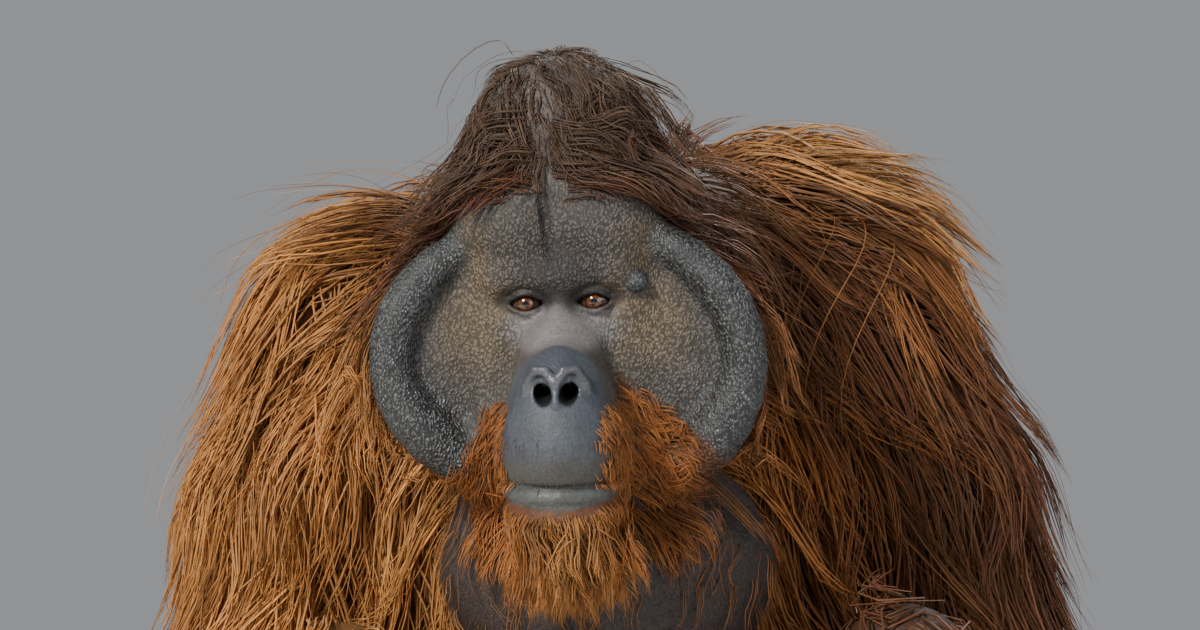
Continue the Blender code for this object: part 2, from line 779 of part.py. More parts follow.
def clear_locks(name, corners, fields):
    """Which locks keep to their own part's side of the borders, off other parts and off the floor."""
    parts = []
    for share in np.linspace(0.0, 1.0, 5):
        parts.append(corners[:, :-1] * (1.0 - share) + corners[:, 1:] * share)
    samples = np.concatenate(parts, axis=1)
    middles = (samples + np.roll(samples, 1, axis=2)) / 2
    samples = np.concatenate([samples, middles], axis=2)
    own = fields[name](samples)
    clear = samples[..., 2] > CLEARANCE
    for other, field in fields.items():
        if other == name:
            continue
        distance = field(samples)
        clear &= distance > CLEARANCE
        if kind_of(other) in LOCKS:
            clear &= distance - own > BORDER
    return clear.all(axis=(1, 2))


def lock_mesh(name, corners):
    faces = [(0, 2, 1)]
    for ring in range(0, 3 * (len(SECTIONS) - 1), 3):
        for side in range(3):
            a, b = ring + side, ring + (side + 1) % 3
            faces.extend([(a, b, b + 3), (a, b + 3, a + 3)])
    last = 3 * (len(SECTIONS) - 1)
    faces.append((last, last + 1, last + 2))
    mesh = bpy.data.meshes.new(name)
    mesh.from_pydata(corners.reshape(-1, 3).tolist(), [], faces)
    shape = bmesh.new()
    shape.from_mesh(mesh)
    bmesh.ops.recalc_face_normals(shape, faces=shape.faces)
    shape.to_mesh(mesh)
    shape.free()
    return mesh


def make_locks(thing, name, coat, fields, body, locks, seed):
    """Comb one coat of locks over a part and put those that lie clear in the collection."""
    random = np.random.default_rng(seed)
    roots = pick_roots(thing, name, coat.where, 4 * coat.count, seed)
    paths = comb(name, roots, coat, body, random)
    tilts = random.normal(0.0, 0.14, len(roots))
    kept = {}
    for reach in (1.0, 0.85, 0.7, 0.55, 0.45):
        corners = lock_corners(paths, coat, body, reach, tilts)
        for index in np.flatnonzero(clear_locks(name, corners, fields)):
            kept.setdefault(int(index), corners[index])
    for index in sorted(kept)[:coat.count]:
        label = "lock_{}_{}".format(name, len(locks.objects))
        helper(label, lock_mesh(label, kept[index]), locks)


def add_hair(thing, name, fields, body, number):
    """Join the part's locks to it with one Boolean, combed anew if the surface isn't clean."""
    coats = LOCKS.get(kind_of(name))
    if not coats:
        return
    bare = thing.data.copy()
    for attempt in range(ATTEMPTS):
        locks = bpy.data.collections.new("locks_" + name)
        bpy.context.scene.collection.children.link(locks)
        for layer, coat in enumerate(coats):
            seed = SEED + number + 100 * attempt + 50 * layer
            make_locks(thing, name, coat, fields, body, locks, seed)
        clean = combine(thing, locks, "UNION")
        for lock in list(locks.objects):
            bpy.data.objects.remove(lock)
        bpy.data.collections.remove(locks)
        if clean:
            return
        thing.data = bare.copy()
    raise RuntimeError("the locks of " + name + " leave an open or shared edge")


def material(name, colour, roughness):
    surface = bpy.data.materials.new(name)
    surface.use_nodes = True
    shader = surface.node_tree.nodes["Principled BSDF"]
    shader.inputs["Base Color"].default_value = colour
    shader.inputs["Roughness"].default_value = roughness
    return surface


def finish(thing, kind):
    name, colour, roughness = MATERIALS[kind]
    thing.data.materials.clear()
    thing.data.materials.append(material("{}_{}".format(thing.name, name), colour, roughness))
    thing.data.shade_smooth()


def build():
    for thing in list(bpy.data.objects):
        bpy.data.objects.remove(thing)
    orangutan = bpy.data.collections.new("orangutan")
    helpers = bpy.data.collections.new("helpers")
    bpy.context.scene.collection.children.link(orangutan)
    bpy.context.scene.collection.children.link(helpers)
    fields = body_fields()
    parts = {}
    for side in SIDES:
        parts["eye_" + side] = make_eye(side, orangutan)
    floor = floor_block(helpers)
    order = list(CUT_BY)
    for name in sorted(fields, key=lambda name: order.index(kind_of(name))):
        kind = kind_of(name)
        cell, triangles = DETAIL[kind]
        part = add_object(name, mesh_from_field(name, fields[name], cell), orangutan)
        thin_out(part, triangles)
        if kind in ON_FLOOR and not combine(part, floor, "DIFFERENCE"):
            raise RuntimeError("the flat under " + name + " isn't clean")
        side = name.removeprefix(kind + "_")
        for neighbour in CUT_BY[kind]:
            cut_clear(part, parts[neighbour.replace("SIDE", side)], helpers)
        parts[name] = part
    bpy.data.objects.remove(floor)
    bpy.data.collections.remove(helpers)

    def body(points):
        return np.minimum.reduce([field(points) for field in fields.values()])

    for number, (name, part) in enumerate(parts.items()):
        add_hair(part, name, fields, body, number)
        finish(part, kind_of(name))


build()
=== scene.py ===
"""Looks of a life-size adult male orangutan, sitting hunched: its skin, eyes, nails and coat.

+X is the animal's left, -Y is the way that it faces and +Z is up, in metres. The skin is one
surface made from a distance field of balls and bars. The coat is combed over it: guide locks are
led over the body along the lie of the hair, and each is filled with thin tapered strands.
"""

import math
from collections import namedtuple

import bmesh
import bpy
import numpy as np
import openvdb
from bpy.props import FloatProperty, FloatVectorProperty, PointerProperty
from mathutils import Euler, Matrix, Vector


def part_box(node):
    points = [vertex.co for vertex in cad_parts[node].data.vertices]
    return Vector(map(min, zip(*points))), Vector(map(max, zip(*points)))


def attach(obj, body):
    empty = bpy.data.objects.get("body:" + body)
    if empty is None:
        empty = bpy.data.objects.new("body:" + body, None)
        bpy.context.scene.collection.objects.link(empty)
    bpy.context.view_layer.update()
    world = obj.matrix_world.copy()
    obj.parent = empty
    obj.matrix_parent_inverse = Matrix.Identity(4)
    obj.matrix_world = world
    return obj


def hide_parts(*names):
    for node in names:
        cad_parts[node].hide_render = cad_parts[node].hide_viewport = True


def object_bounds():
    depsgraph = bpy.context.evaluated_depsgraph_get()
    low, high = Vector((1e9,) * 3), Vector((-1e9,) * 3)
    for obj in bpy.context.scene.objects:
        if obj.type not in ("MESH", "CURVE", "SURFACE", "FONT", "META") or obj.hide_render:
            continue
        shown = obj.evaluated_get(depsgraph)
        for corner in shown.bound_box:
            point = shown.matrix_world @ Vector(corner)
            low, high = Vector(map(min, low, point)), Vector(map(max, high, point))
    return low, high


bl_info = {
    "name": "Orangutan looks",
    "version": (1, 0, 0),
    "blender": (4, 5, 0),
    "location": "View3D > Sidebar > Orangutan",
    "description": "Skin, eyes, nails and coat of a sitting orangutan",
    "category": "Object",
}

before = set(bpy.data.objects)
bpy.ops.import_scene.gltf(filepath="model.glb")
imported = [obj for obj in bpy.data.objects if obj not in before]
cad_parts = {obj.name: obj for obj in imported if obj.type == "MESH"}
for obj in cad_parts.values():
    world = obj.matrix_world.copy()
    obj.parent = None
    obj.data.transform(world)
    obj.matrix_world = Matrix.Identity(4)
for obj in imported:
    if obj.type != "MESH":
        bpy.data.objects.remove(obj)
CAD_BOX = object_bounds()

# The head: the point midway between the eyes, in metres, and how the head is turned
EYES_AT = (-0.042, -0.300, 0.620)
HEAD_TURN = (math.radians(2.0), math.radians(-2.4), math.radians(-4.0))

# Face sizes in millimetres, from the point between the eyes (x to its left, y back, z up)
MM = 0.001
EYE_SPACING = 51.0
EYE_RADIUS = 12.0
EYE_CENTRE_BACK = 12.0
PAD_CENTRE = {"left": (45.0, -48.0), "right": (-45.0, -41.0)}
PAD_REACH = {"left": 108.0, "right": 101.0}
PAD_RIM = (12.0, 14.5, 16.0, 16.5, 16.5, 16.5, 18.0, 20.0, 21.0, 20.0, 15.0)
MOUTH_HEIGHT = -131.0
LIP_ARC = (40.0, 47.0, -38.0)
WART = (58.0, 5.0, 13.0)
FOREHEAD_GROOVE = [(-10, 4, 96), (-9.5, -2, 78), (-7, -4, 56), (-6, -5, 37)]

# Joints, in metres
SIDES = {"left": 1.0, "right": -1.0}
SHOULDER = {"left": (0.180, 0.010, 0.605), "right": (-0.195, 0.000, 0.590)}
ELBOW = {"left": (0.306, -0.035, 0.290), "right": (-0.298, -0.045, 0.280)}
WRIST = {"left": (0.302, -0.370, 0.090), "right": (-0.296, -0.375, 0.090)}
HIP = {"left": (0.100, -0.045, 0.135), "right": (-0.100, -0.045, 0.135)}
KNEE = {"left": (0.218, -0.235, 0.345), "right": (-0.208, -0.235, 0.330)}
ANKLE = {"left": (0.170, -0.350, 0.090), "right": (-0.165, -0.350, 0.090)}

# How far the skin lies inside the solids of the hairy parts, in metres
COAT_DEPTH = {
    "torso": 0.020,
    "neck": 0.018,
    "upper_arm": 0.018,
    "forearm": 0.010,
    "thigh": 0.014,
    "shin": 0.009,
    "throat_pouch": 0.003,
}
# How widely each part is blended with the skin before it, in metres
SKIN_BLEND = {
    "torso": 0.0,
    "neck": 0.040,
    "throat_pouch": 0.030,
    "head": 0.022,
    "upper_arm": 0.050,
    "forearm": 0.030,
    "hand": 0.014,
    "thigh": 0.045,
    "shin": 0.030,
    "foot": 0.014,
}

# The skin's grid: where each run of steps starts along an axis, and its step, in metres
GRID = (
    ((-0.42, 0.0050), (-0.20, 0.0036), (-0.105, 0.0019), (0.025, 0.0036), (0.135, 0.0050), (0.42, 0.0)),
    ((-0.62, 0.0048), (-0.415, 0.0020), (-0.275, 0.0040), (-0.14, 0.0130), (0.26, 0.0)),
    ((-0.02, 0.0045), (0.115, 0.0130), (0.46, 0.0034), (0.520, 0.0019), (0.655, 0.0036), (0.84, 0.0)),
)
BLOCK = 4
SKIN_TRIANGLES = 194000
SEED = 11
# How far the cornea stands out, in metres, and the share of the iris given to what lies behind it
CORNEA_BULGE = 0.0011
BEHIND = 9.0


def ball(centre, radii, turn=(0.0, 0.0, 0.0)):
    """The field of an ellipsoid, turned by Euler angles in degrees."""
    centre = np.array(centre, float)
    radii = np.array(radii, float)
    axes = np.array(Euler([math.radians(t) for t in turn]).to_matrix())

    def field(points):
        local = (points - centre) @ axes
        near = np.linalg.norm(local / radii, axis=-1)
        slope = np.linalg.norm(local / radii**2, axis=-1)
        return near * (near - 1.0) / np.maximum(slope, 1e-9)

    return field


def bar(start, end, start_radius, end_radius):
    """The field of a round bar that tapers from one radius to the other."""
    start = np.array(start, float)
    along = np.array(end, float) - start

    def field(points):
        from_start = points - start
        share = np.clip(from_start @ along / (along @ along), 0.0, 1.0)
        away = np.linalg.norm(from_start - share[..., None] * along, axis=-1)
        return away - (start_radius + (end_radius - start_radius) * share)

    return field


def chain(stations, radii):
    """The field of bars joined end to end through the stations."""
    if np.isscalar(radii):
        radii = [radii] * len(stations)
    links = zip(stations[:-1], stations[1:], radii[:-1], radii[1:])
    bars = [bar(*link) for link in links]
    return lambda points: np.minimum.reduce([b(points) for b in bars])


def slab(centre, half_sizes, edge):
    """The field of a block with its edges rounded by the edge radius."""
    centre = np.array(centre, float)
    half_sizes = np.array(half_sizes, float)

    def field(points):
        over = np.abs(points - centre) - half_sizes
        outside = np.linalg.norm(np.maximum(over, 0.0), axis=-1)
        return outside + np.minimum(over.max(axis=-1), 0.0) - edge

    return field


def smooth_min(first, second, width):
    share = np.clip(0.5 + 0.5 * (second - first) / width, 0.0, 1.0)
    return second + (first - second) * share - width * share * (1.0 - share)


def blend(shapes, width):
    """The union of shapes, with their creases filled over the width."""

    def field(points):
        distance = shapes[0](points)
        for shape in shapes[1:]:
            distance = smooth_min(distance, shape(points), width)
        return distance

    return field


def hollow(solid, tool, width):
    """The solid with the tool taken out of it, and the edge rounded over the width."""
    return lambda points: -smooth_min(-solid(points), tool(points), width)


def rise(values, low, high):
    """0 below low, 1 above high, smooth between. It falls instead where high is below low."""
    share = np.clip((values - low) / (high - low), 0.0, 1.0)
    return share * share * (3.0 - 2.0 * share)


def unit(vectors):
    return vectors / np.maximum(np.linalg.norm(vectors, axis=-1, keepdims=True), 1e-9)


def head_place():
    return Matrix.Translation(EYES_AT) @ Euler(HEAD_TURN).to_matrix().to_4x4()


def to_face(points):
    """Points in the face's millimetres."""
    matrix = np.array(head_place().inverted())
    return (points @ matrix[:3, :3].T + matrix[:3, 3]) / MM


def from_face(vectors):
    """Directions in the face's axes as directions in the model."""
    return vectors @ np.array(head_place())[:3, :3].T


def lip_line(share, height, outward=0.0):
    """A point on the lips' curve. Share runs from -1 to 1, corner to corner."""
    half_width, depth, back = LIP_ARC
    angle = math.radians(82.0) * share
    return (
        (half_width + outward) * math.sin(angle),
        back - (depth + outward) * math.cos(angle),
        MOUTH_HEIGHT + height + 5.0 * share**2,
    )


def skull_field():
    """Cranium, crown, forehead, cheeks, muzzle and jaw, with no small forms."""
    shapes = [
        ball((0, 104, 48), (86, 90, 84)),
        ball((0, 74, 118), (76, 70, 78)),
        ball((0, 60, 78), (88, 58, 56)),
        slab((0, 36, -34), (44, 8, 50), 24),
        ball((0, 52, -44), (84, 34, 84)),
    ]
    for x in (-33, 31):
        shapes.append(ball((x, 32, 56), (46, 42, 40)))
    shapes.append(bar((-42, 12, 22), (42, 12, 23), 15, 15))
    shapes.append(ball((0, 4, 18), (18, 13, 13)))
    shapes.append(bar((0, 26, -12), (0, -20, -64), 26, 38))
    shapes.append(ball((0, -46, -58), (26, 30, 26)))
    shapes.append(ball((0, -44, -104), (44, 52, 54)))
    shapes.append(bar((0, -34, -110), (0, 40, -96), 41, 62))
    shapes.append(ball((0, -36, -150), (42, 46, 33)))
    for x in (-40, 40):
        shapes.append(ball((x, 40, -112), (42, 50, 46)))
    return blend(shapes, 15.0)


def eye_opening(eye):
    """The lens between the lids, just in front of an eyeball."""
    half_width, upper, lower = 14.5, 6.4, 5.4

    def field(points):
        local = points - np.array(eye)
        across = np.clip(1.0 - (local[..., 0] / half_width) ** 2, -1.0, 1.0)
        above = local[..., 2] - upper * across
        below = -lower * across - local[..., 2]
        away = np.linalg.norm(local, axis=-1)
        return np.maximum.reduce([above, below, local[..., 1] + 4.0, away - 22.0])

    return field


def lid_curve(eye, height, sag, back):
    """Stations along a lid's edge, over the front of the eyeball."""
    stations = []
    for x in np.linspace(-13.5, 13.5, 9):
        across = 1.0 - (x / 14.5) ** 2
        z = height * across
        ball_front = -math.sqrt(max(15.0**2 - x**2 - z**2, 20.0))
        stations.append((eye[0] + x, eye[1] + ball_front + back, eye[2] + z + sag))
    return stations


def add_eyes(head):
    for x in (-1.0, 1.0):
        eye = (EYE_SPACING / 2 * x, EYE_CENTRE_BACK, 0.0)
        head = hollow(head, ball((29 * x, -6, -1), (19, 13, 9)), 9.0)
        head = blend([head, ball(eye, (15.6, 14.4, 14.2))], 6.0)
        head = hollow(head, eye_opening(eye), 1.4)
        head = blend([head, chain(lid_curve(eye, -5.8, -0.8, 0.4), 1.5)], 1.6)
        head = blend([head, chain(lid_curve(eye, 6.8, 0.9, 0.2), 1.8)], 1.6)
        head = hollow(head, chain(lid_curve(eye, 10.0, 2.6, -0.6), 0.9), 2.2)
        head = hollow(head, chain(lid_curve(eye, -10.5, -2.2, -0.6), 0.7), 2.2)
        head = hollow(head, chain(lid_curve(eye, -15.5, -3.0, 0.2), 0.6), 3.0)
    return head


def nostril(sign, radii):
    """The field of one nostril's hole, with its radii at its top, at its foot and deep inside."""
    return chain([(12.5 * sign, -94, -51), (9.6 * sign, -98, -67), (10 * sign, -58, -57)], radii)


def add_nose(head):
    for x in (-1.0, 1.0):
        rim = [(22, -60, -68), (22, -66, -56), (15, -72, -44.5), (7, -76, -44.5), (1.5, -79, -53)]
        head = blend([head, chain([(x * a, b, c) for a, b, c in rim], [3.6, 4, 4.2, 3.8, 3.4])], 3.0)
    head = blend([head, bar((0, -80, -54), (0, -85, -70), 2.8, 3.2)], 3.0)
    for x in (-1.0, 1.0):
        head = hollow(head, nostril(x, [6.7, 7.4, 5.8]), 1.4)
    return hollow(head, bar((0, -86, -42), (0, -88, -49), 0.8, 0.8), 2.4)


def add_mouth(head):
    shares = np.linspace(-1.0, 1.0, 17)
    head = blend([head, chain([lip_line(s * 0.99, -7.2, -1.0) for s in shares], 6.3)], 3.0)
    head = blend([head, chain([lip_line(s * 0.96, -24.0, -6.0) for s in shares], 9.0)], 8.0)
    x, y, z = lip_line(1.0, 18.0, 14.0)
    line = [(-x, y + 26.0, z), *[lip_line(s, 0.0, 3.5) for s in shares], (x, y + 26.0, z)]
    return hollow(head, chain(line, 2.1), 1.6)


def pad_rim(side):
    """The stations of the rolled rim, from the top of a cheek pad to its foot."""
    x, z = PAD_CENTRE[side]
    sign = SIDES[side]
    rim = []
    for degrees, radius in zip(np.linspace(70.0, -76.0, 11), PAD_RIM):
        angle = math.radians(degrees)
        reach = PAD_REACH[side] - radius
        back = 10.0 + 16.0 * abs(degrees / 80.0) ** 3
        rim.append((x + sign * reach * math.cos(angle), back, z + reach * math.sin(angle)))
    return rim


def pad_field(side):
    """A cheek pad: a dished half disc with a thick rolled rim."""
    x, z = PAD_CENTRE[side]
    dish = ball((x + SIDES[side] * 30.0, 32, z), (68, 22, 90))
    return blend([chain(pad_rim(side), PAD_RIM), dish], 11.0)


def ear_field(side):
    sign = SIDES[side]
    shell = ball((sign * 87, 100, 4), (10, 15, 21), (0, 0, sign * 20))
    cup = ball((sign * 98, 95, 4), (8, 9, 14), (0, 0, sign * 20))
    return hollow(shell, cup, 2.0)


def scalp_depth(points):
    """How far the skin lies under the head's solid, in millimetres: deep where its hair is long."""
    x, y, z = points[..., 0], points[..., 1], points[..., 2]
    behind = rise(y, 24.0, 60.0) * rise(z, -60.0, -20.0)
    beside = rise(np.abs(x), 44.0, 66.0) * rise(z, 84.0, 104.0)
    crown = rise(z, 84.0, 100.0)
    return np.maximum(np.maximum(behind, beside) * 11.0, crown * 4.0)


def face_field():
    """The whole head in the face's millimetres: skull, lids, nose, lips, cheek pads, ears and wart."""
    skull = skull_field()
    head = add_mouth(lambda points: skull(points) + scalp_depth(points))
    head = add_eyes(add_nose(head))
    head = hollow(head, chain(FOREHEAD_GROOVE, [3.0, 3.3, 3.5, 2.8]), 2.6)
    head = hollow(head, chain([(-6, -9, 40), (-5, -12, 26)], 1.4), 3.0)
    head = hollow(head, chain([(5, -9, 38), (3, -12, 27)], 1.2), 3.0)
    pads = blend([pad_field("left"), pad_field("right")], 2.0)
    head = blend([head, pads], 14.0)
    head = blend([head, ear_field("left"), ear_field("right")], 4.0)
    return blend([head, ball(WART, (8.0, 7.5, 7.5))], 2.0)


def in_head(field):
    """A field in the face's millimetres as a field in the model's metres."""
    return lambda points: field(to_face(points)) * MM


def along(start, end, share, shift=(0.0, 0.0, 0.0)):
    """The point that lies this share of the way from start to end, moved by shift."""
    return tuple(a + (b - a) * share + s for a, b, s in zip(start, end, shift))


def torso_field():
    shapes = [
        ball((0, 0.030, 0.128), (0.180, 0.155, 0.134)),
        ball((0, -0.050, 0.240), (0.192, 0.175, 0.185)),
        ball((0, -0.015, 0.440), (0.200, 0.150, 0.200)),
        ball((0, 0.060, 0.520), (0.180, 0.110, 0.170)),
        ball((0.110, 0.045, 0.655), (0.112, 0.095, 0.100)),
        ball((-0.110, 0.045, 0.620), (0.108, 0.090, 0.086)),
    ]
    for side in SIDES:
        x, y, z = SHOULDER[side]
        shapes.append(ball((x * 0.70, y, z), (0.085, 0.085, 0.085)))
    return blend(shapes, 0.05)


def neck_field():
    shapes = [
        bar((-0.005, -0.010, 0.605), (-0.035, -0.170, 0.640), 0.110, 0.076),
        ball((0.010, -0.060, 0.640), (0.135, 0.100, 0.105)),
    ]
    return blend(shapes, 0.03)


def pouch_field():
    shapes = [
        ball((-0.006, -0.195, 0.415), (0.130, 0.096, 0.105)),
        ball((-0.030, -0.200, 0.505), (0.085, 0.075, 0.070)),
    ]
    return blend(shapes, 0.04)


def upper_arm_field(side):
    shoulder, elbow = SHOULDER[side], ELBOW[side]
    middle = along(shoulder, elbow, 0.45, (0.012 * SIDES[side], 0, 0))
    return blend([bar(shoulder, middle, 0.092, 0.070), bar(middle, elbow, 0.066, 0.052)], 0.03)


def forearm_field(side):
    elbow, wrist = ELBOW[side], WRIST[side]
    middle = along(elbow, wrist, 0.3)
    return blend([bar(elbow, middle, 0.045, 0.046), bar(middle, wrist, 0.046, 0.031)], 0.03)


def thigh_field(side):
    hip, knee = HIP[side], KNEE[side]
    middle = along(hip, knee, 0.5)
    return blend([bar(hip, middle, 0.096, 0.068), bar(middle, knee, 0.068, 0.060)], 0.02)


def shin_field(side):
    knee, ankle = KNEE[side], ANKLE[side]
    calf = along(knee, ankle, 0.35, (0, 0.015, 0))
    return blend([bar(knee, calf, 0.044, 0.052), bar(calf, ankle, 0.050, 0.034)], 0.03)


def palm_place(side):
    """The hand's own axes: y along the fingers and z up."""
    turn = Matrix.Rotation(math.radians(180.0 - 6.0 * SIDES[side]), 4, "Z")
    return Matrix.Translation(WRIST[side]) @ turn


def foot_place(side):
    x, y = ANKLE[side][:2]
    turn = Matrix.Rotation(math.radians(180.0 - 8.0 * SIDES[side]), 4, "Z")
    return Matrix.Translation((x, y, 0.0)) @ turn


def digit_path(root, yaw, lengths, lift, place):
    """The joints of a finger or toe that rises from the root and curls down to the floor."""
    points = [Vector(root)]
    for length, pitch in zip(lengths, lift):
        yawed = math.radians(yaw)
        pitched = math.radians(pitch)
        level = Vector((math.sin(yawed), math.cos(yawed), 0.0)) * math.cos(pitched)
        points.append(points[-1] + (level + Vector((0.0, 0.0, math.sin(pitched)))) * length)
    return [place @ point for point in points]


def hand_digits(side):
    """Each finger's joints and radii."""
    inner = SIDES[side]
    place = palm_place(side)
    digits = []
    for i, length in enumerate((0.050, 0.056, 0.054, 0.046)):
        x = (i - 1.5) * 0.022 * inner
        lengths = (length, length * 0.72, length * 0.50)
        yaw = (i - 1.5) * 5.0 * inner
        path = digit_path((x, 0.095, -0.070), yaw, lengths, (12, -10, -34), place)
        digits.append((path, (0.0150, 0.0140, 0.0125, 0.0115)))
    root = (-0.036 * inner, 0.030, -0.068)
    thumb = digit_path(root, -42.0 * inner, (0.034, 0.026), (-8, -12), place)
    return digits + [(thumb, (0.016, 0.0130, 0.0105))]


def foot_digits(side):
    """Each toe's joints and radii."""
    inner = SIDES[side]
    place = foot_place(side)
    digits = []
    for i, length in enumerate((0.046, 0.052, 0.050, 0.042)):
        x = (i - 1.5) * 0.021 * -inner
        lengths = (length, length * 0.75, length * 0.50)
        yaw = (1.5 - i) * 4.0 * inner
        path = digit_path((x, 0.120, 0.030), yaw, lengths, (10, -10, -26), place)
        digits.append((path, (0.0155, 0.0145, 0.0125, 0.0105)))
    root = (0.038 * inner, 0.030, 0.028)
    toe = digit_path(root, 48.0 * inner, (0.030, 0.024), (-6, -10), place)
    return digits + [(toe, (0.017, 0.0135, 0.011))]


def knuckled(path, radii):
    """A digit with swollen joints."""
    stations = [tuple(p) for p in path]
    shapes = [chain(stations, list(radii))]
    for joint, radius in zip(stations[1:-1], radii[1:-1]):
        shapes.append(ball(joint, (radius * 1.13,) * 3))
    return blend(shapes, 0.006)


def hand_field(side):
    place = palm_place(side)
    shapes = [
        bar(place @ Vector((0, -0.02, 0.0)), place @ Vector((0, 0.030, -0.050)), 0.030, 0.030),
        ball(tuple(place @ Vector((0, 0.055, -0.064))), (0.045, 0.060, 0.031), (10, 0, 0)),
    ]
    shapes += [knuckled(*digit) for digit in hand_digits(side)]
    return blend(shapes, 0.010)


def foot_field(side):
    place = foot_place(side)
    shapes = [
        bar(ANKLE[side], place @ Vector((0, 0.010, 0.055)), 0.034, 0.034),
        ball(tuple(place @ Vector((0, -0.032, 0.032))), (0.034, 0.040, 0.034)),
        ball(tuple(place @ Vector((0, 0.060, 0.036))), (0.044, 0.085, 0.038)),
    ]
    shapes += [knuckled(*digit) for digit in foot_digits(side)]
    return blend(shapes, 0.010)


def kind_of(name):
    """The part's name with its side left off."""
    return name.removesuffix("_left").removesuffix("_right")


def boxed(name, field):
    """The field near its part, and a lower bound of the distance far from it."""
    low, high = [np.array(corner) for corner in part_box(name)]
    if name == "head":
        for pad in ("cheek_pad_left", "cheek_pad_right"):
            corners = [np.array(corner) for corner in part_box(pad)]
            low, high = np.minimum(low, corners[0]), np.maximum(high, corners[1])
    reach = 0.06

    def near(points):
        over = np.maximum(np.maximum(low - points, points - high), 0.0)
        away = np.linalg.norm(over, axis=-1)
        values = away + 0.02
        close = away < reach
        values[close] = field(points[close])
        return values

    return near


def skin_fields():
    """The bare skin of each part, by its CAD node's name."""
    fields = {
        "torso": torso_field(),
        "neck": neck_field(),
        "throat_pouch": pouch_field(),
        "head": in_head(face_field()),
    }
    for side in SIDES:
        fields["upper_arm_" + side] = upper_arm_field(side)
        fields["forearm_" + side] = forearm_field(side)
        fields["hand_" + side] = hand_field(side)
        fields["thigh_" + side] = thigh_field(side)
        fields["shin_" + side] = shin_field(side)
        fields["foot_" + side] = foot_field(side)
    return {name: boxed(name, field) for name, field in fields.items()}


FIELDS = skin_fields()


def skin_field(points):
    """The whole skin: every part under its coat, blended into the one before it."""
    distance = None
    for name, field in FIELDS.items():
        kind = kind_of(name)
        part = field(points) + COAT_DEPTH.get(kind, 0.0)
        distance = part if distance is None else smooth_min(distance, part, SKIN_BLEND[kind])
    return np.maximum(distance, -points[..., 2])


def graded(runs):
    """The places of a grid's planes along one axis, in whole blocks."""
    places = [np.arange(start, end - 1e-9, step) for (start, step), (end, _) in zip(runs, runs[1:])]
    places = np.concatenate(places)
    step = runs[-2][1]
    spare = -len(places) % BLOCK
    return np.concatenate([places, places[-1] + step * np.arange(1, spare + 1)])


def skin_surface():
    """The points and quads where the skin's field is zero, on a grid that is finest on the face."""
    axes = [graded(runs) for runs in GRID]
    blocks = [axis.reshape(-1, BLOCK) for axis in axes]
    centres = np.stack(np.meshgrid(*[b.mean(axis=1) for b in blocks], indexing="ij"), axis=-1)
    halves = np.meshgrid(*[(b[:, -1] - b[:, 0]) * 0.7 for b in blocks], indexing="ij")
    coarse = skin_field(centres)
    near = np.argwhere(np.abs(coarse) < 1.1 * np.sqrt(sum(h**2 for h in halves)) + 0.004)
    values = coarse.repeat(BLOCK, 0).repeat(BLOCK, 1).repeat(BLOCK, 2)
    steps = np.stack(np.meshgrid(*[np.arange(BLOCK)] * 3, indexing="ij"), axis=-1).reshape(-1, 3)
    for some in np.array_split(near, max(1, len(near) // 3000)):
        cells = (some[:, None, :] * BLOCK + steps).reshape(-1, 3)
        places = np.stack([axes[i][cells[:, i]] for i in range(3)], axis=-1)
        values[tuple(cells.T)] = skin_field(places)
    volume = openvdb.FloatGrid(1.0)
    volume.copyFromArray(values.astype(np.float32))
    points, quads = volume.convertToQuads(0.0)
    for i in range(3):
        points[:, i] = np.interp(points[:, i], np.arange(len(axes[i])), axes[i])
    return points, quads


def mesh_of(name, points, faces):
    """A smooth-shaded mesh from an array of points and one of faces that all have as many corners."""
    mesh = bpy.data.meshes.new(name)
    corners = faces.shape[1]
    mesh.vertices.add(len(points))
    mesh.vertices.foreach_set("co", np.ascontiguousarray(points, np.float32).ravel())
    mesh.loops.add(faces.size)
    mesh.loops.foreach_set("vertex_index", np.ascontiguousarray(faces, np.int32).ravel())
    mesh.polygons.add(len(faces))
    mesh.polygons.foreach_set("loop_start", np.arange(0, faces.size, corners, dtype=np.int32))
    mesh.update(calc_edges=True)
    mesh.validate()
    mesh.shade_smooth()
    return mesh


def add_object(name, mesh):
    thing = bpy.data.objects.new(name, mesh)
    bpy.context.scene.collection.objects.link(thing)
    return thing


def points_of(mesh):
    points = np.empty(3 * len(mesh.vertices), np.float32)
    mesh.vertices.foreach_get("co", points)
    return points.reshape(-1, 3).astype(float)


def normals_of(mesh):
    normals = np.empty(3 * len(mesh.vertices), np.float32)
    mesh.vertices.foreach_get("normal", normals)
    return normals.reshape(-1, 3).astype(float)


def paint(mesh, name, colours):
    """Store a colour for each point of the mesh as an attribute."""
    full = np.ones((len(colours), 4), np.float32)
    full[:, :3] = colours
    mesh.color_attributes.new(name=name, type="FLOAT_COLOR", domain="POINT")
    mesh.color_attributes[name].data.foreach_set("color", full.ravel())


def paint_again(mesh, name, colours):
    mesh.color_attributes.remove(mesh.color_attributes[name])
    paint(mesh, name, colours)


def baked(thing):
    """Replace the object's mesh by what its modifiers make of it."""
    bpy.context.view_layer.update()
    graph = bpy.context.evaluated_depsgraph_get()
    mesh = bpy.data.meshes.new_from_object(thing.evaluated_get(graph))
    thing.modifiers.clear()
    old = thing.data
    thing.data = mesh
    bpy.data.meshes.remove(old)
    return thing


def hand_in(thing, material, slot, *nodes):
    """Give a finished piece its material, its body and the solids that it stands for. The slot is not used.
    """
    thing.data.materials.clear()
    thing.data.materials.append(material)
    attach(thing, "root")
    if nodes:
        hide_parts(*nodes)


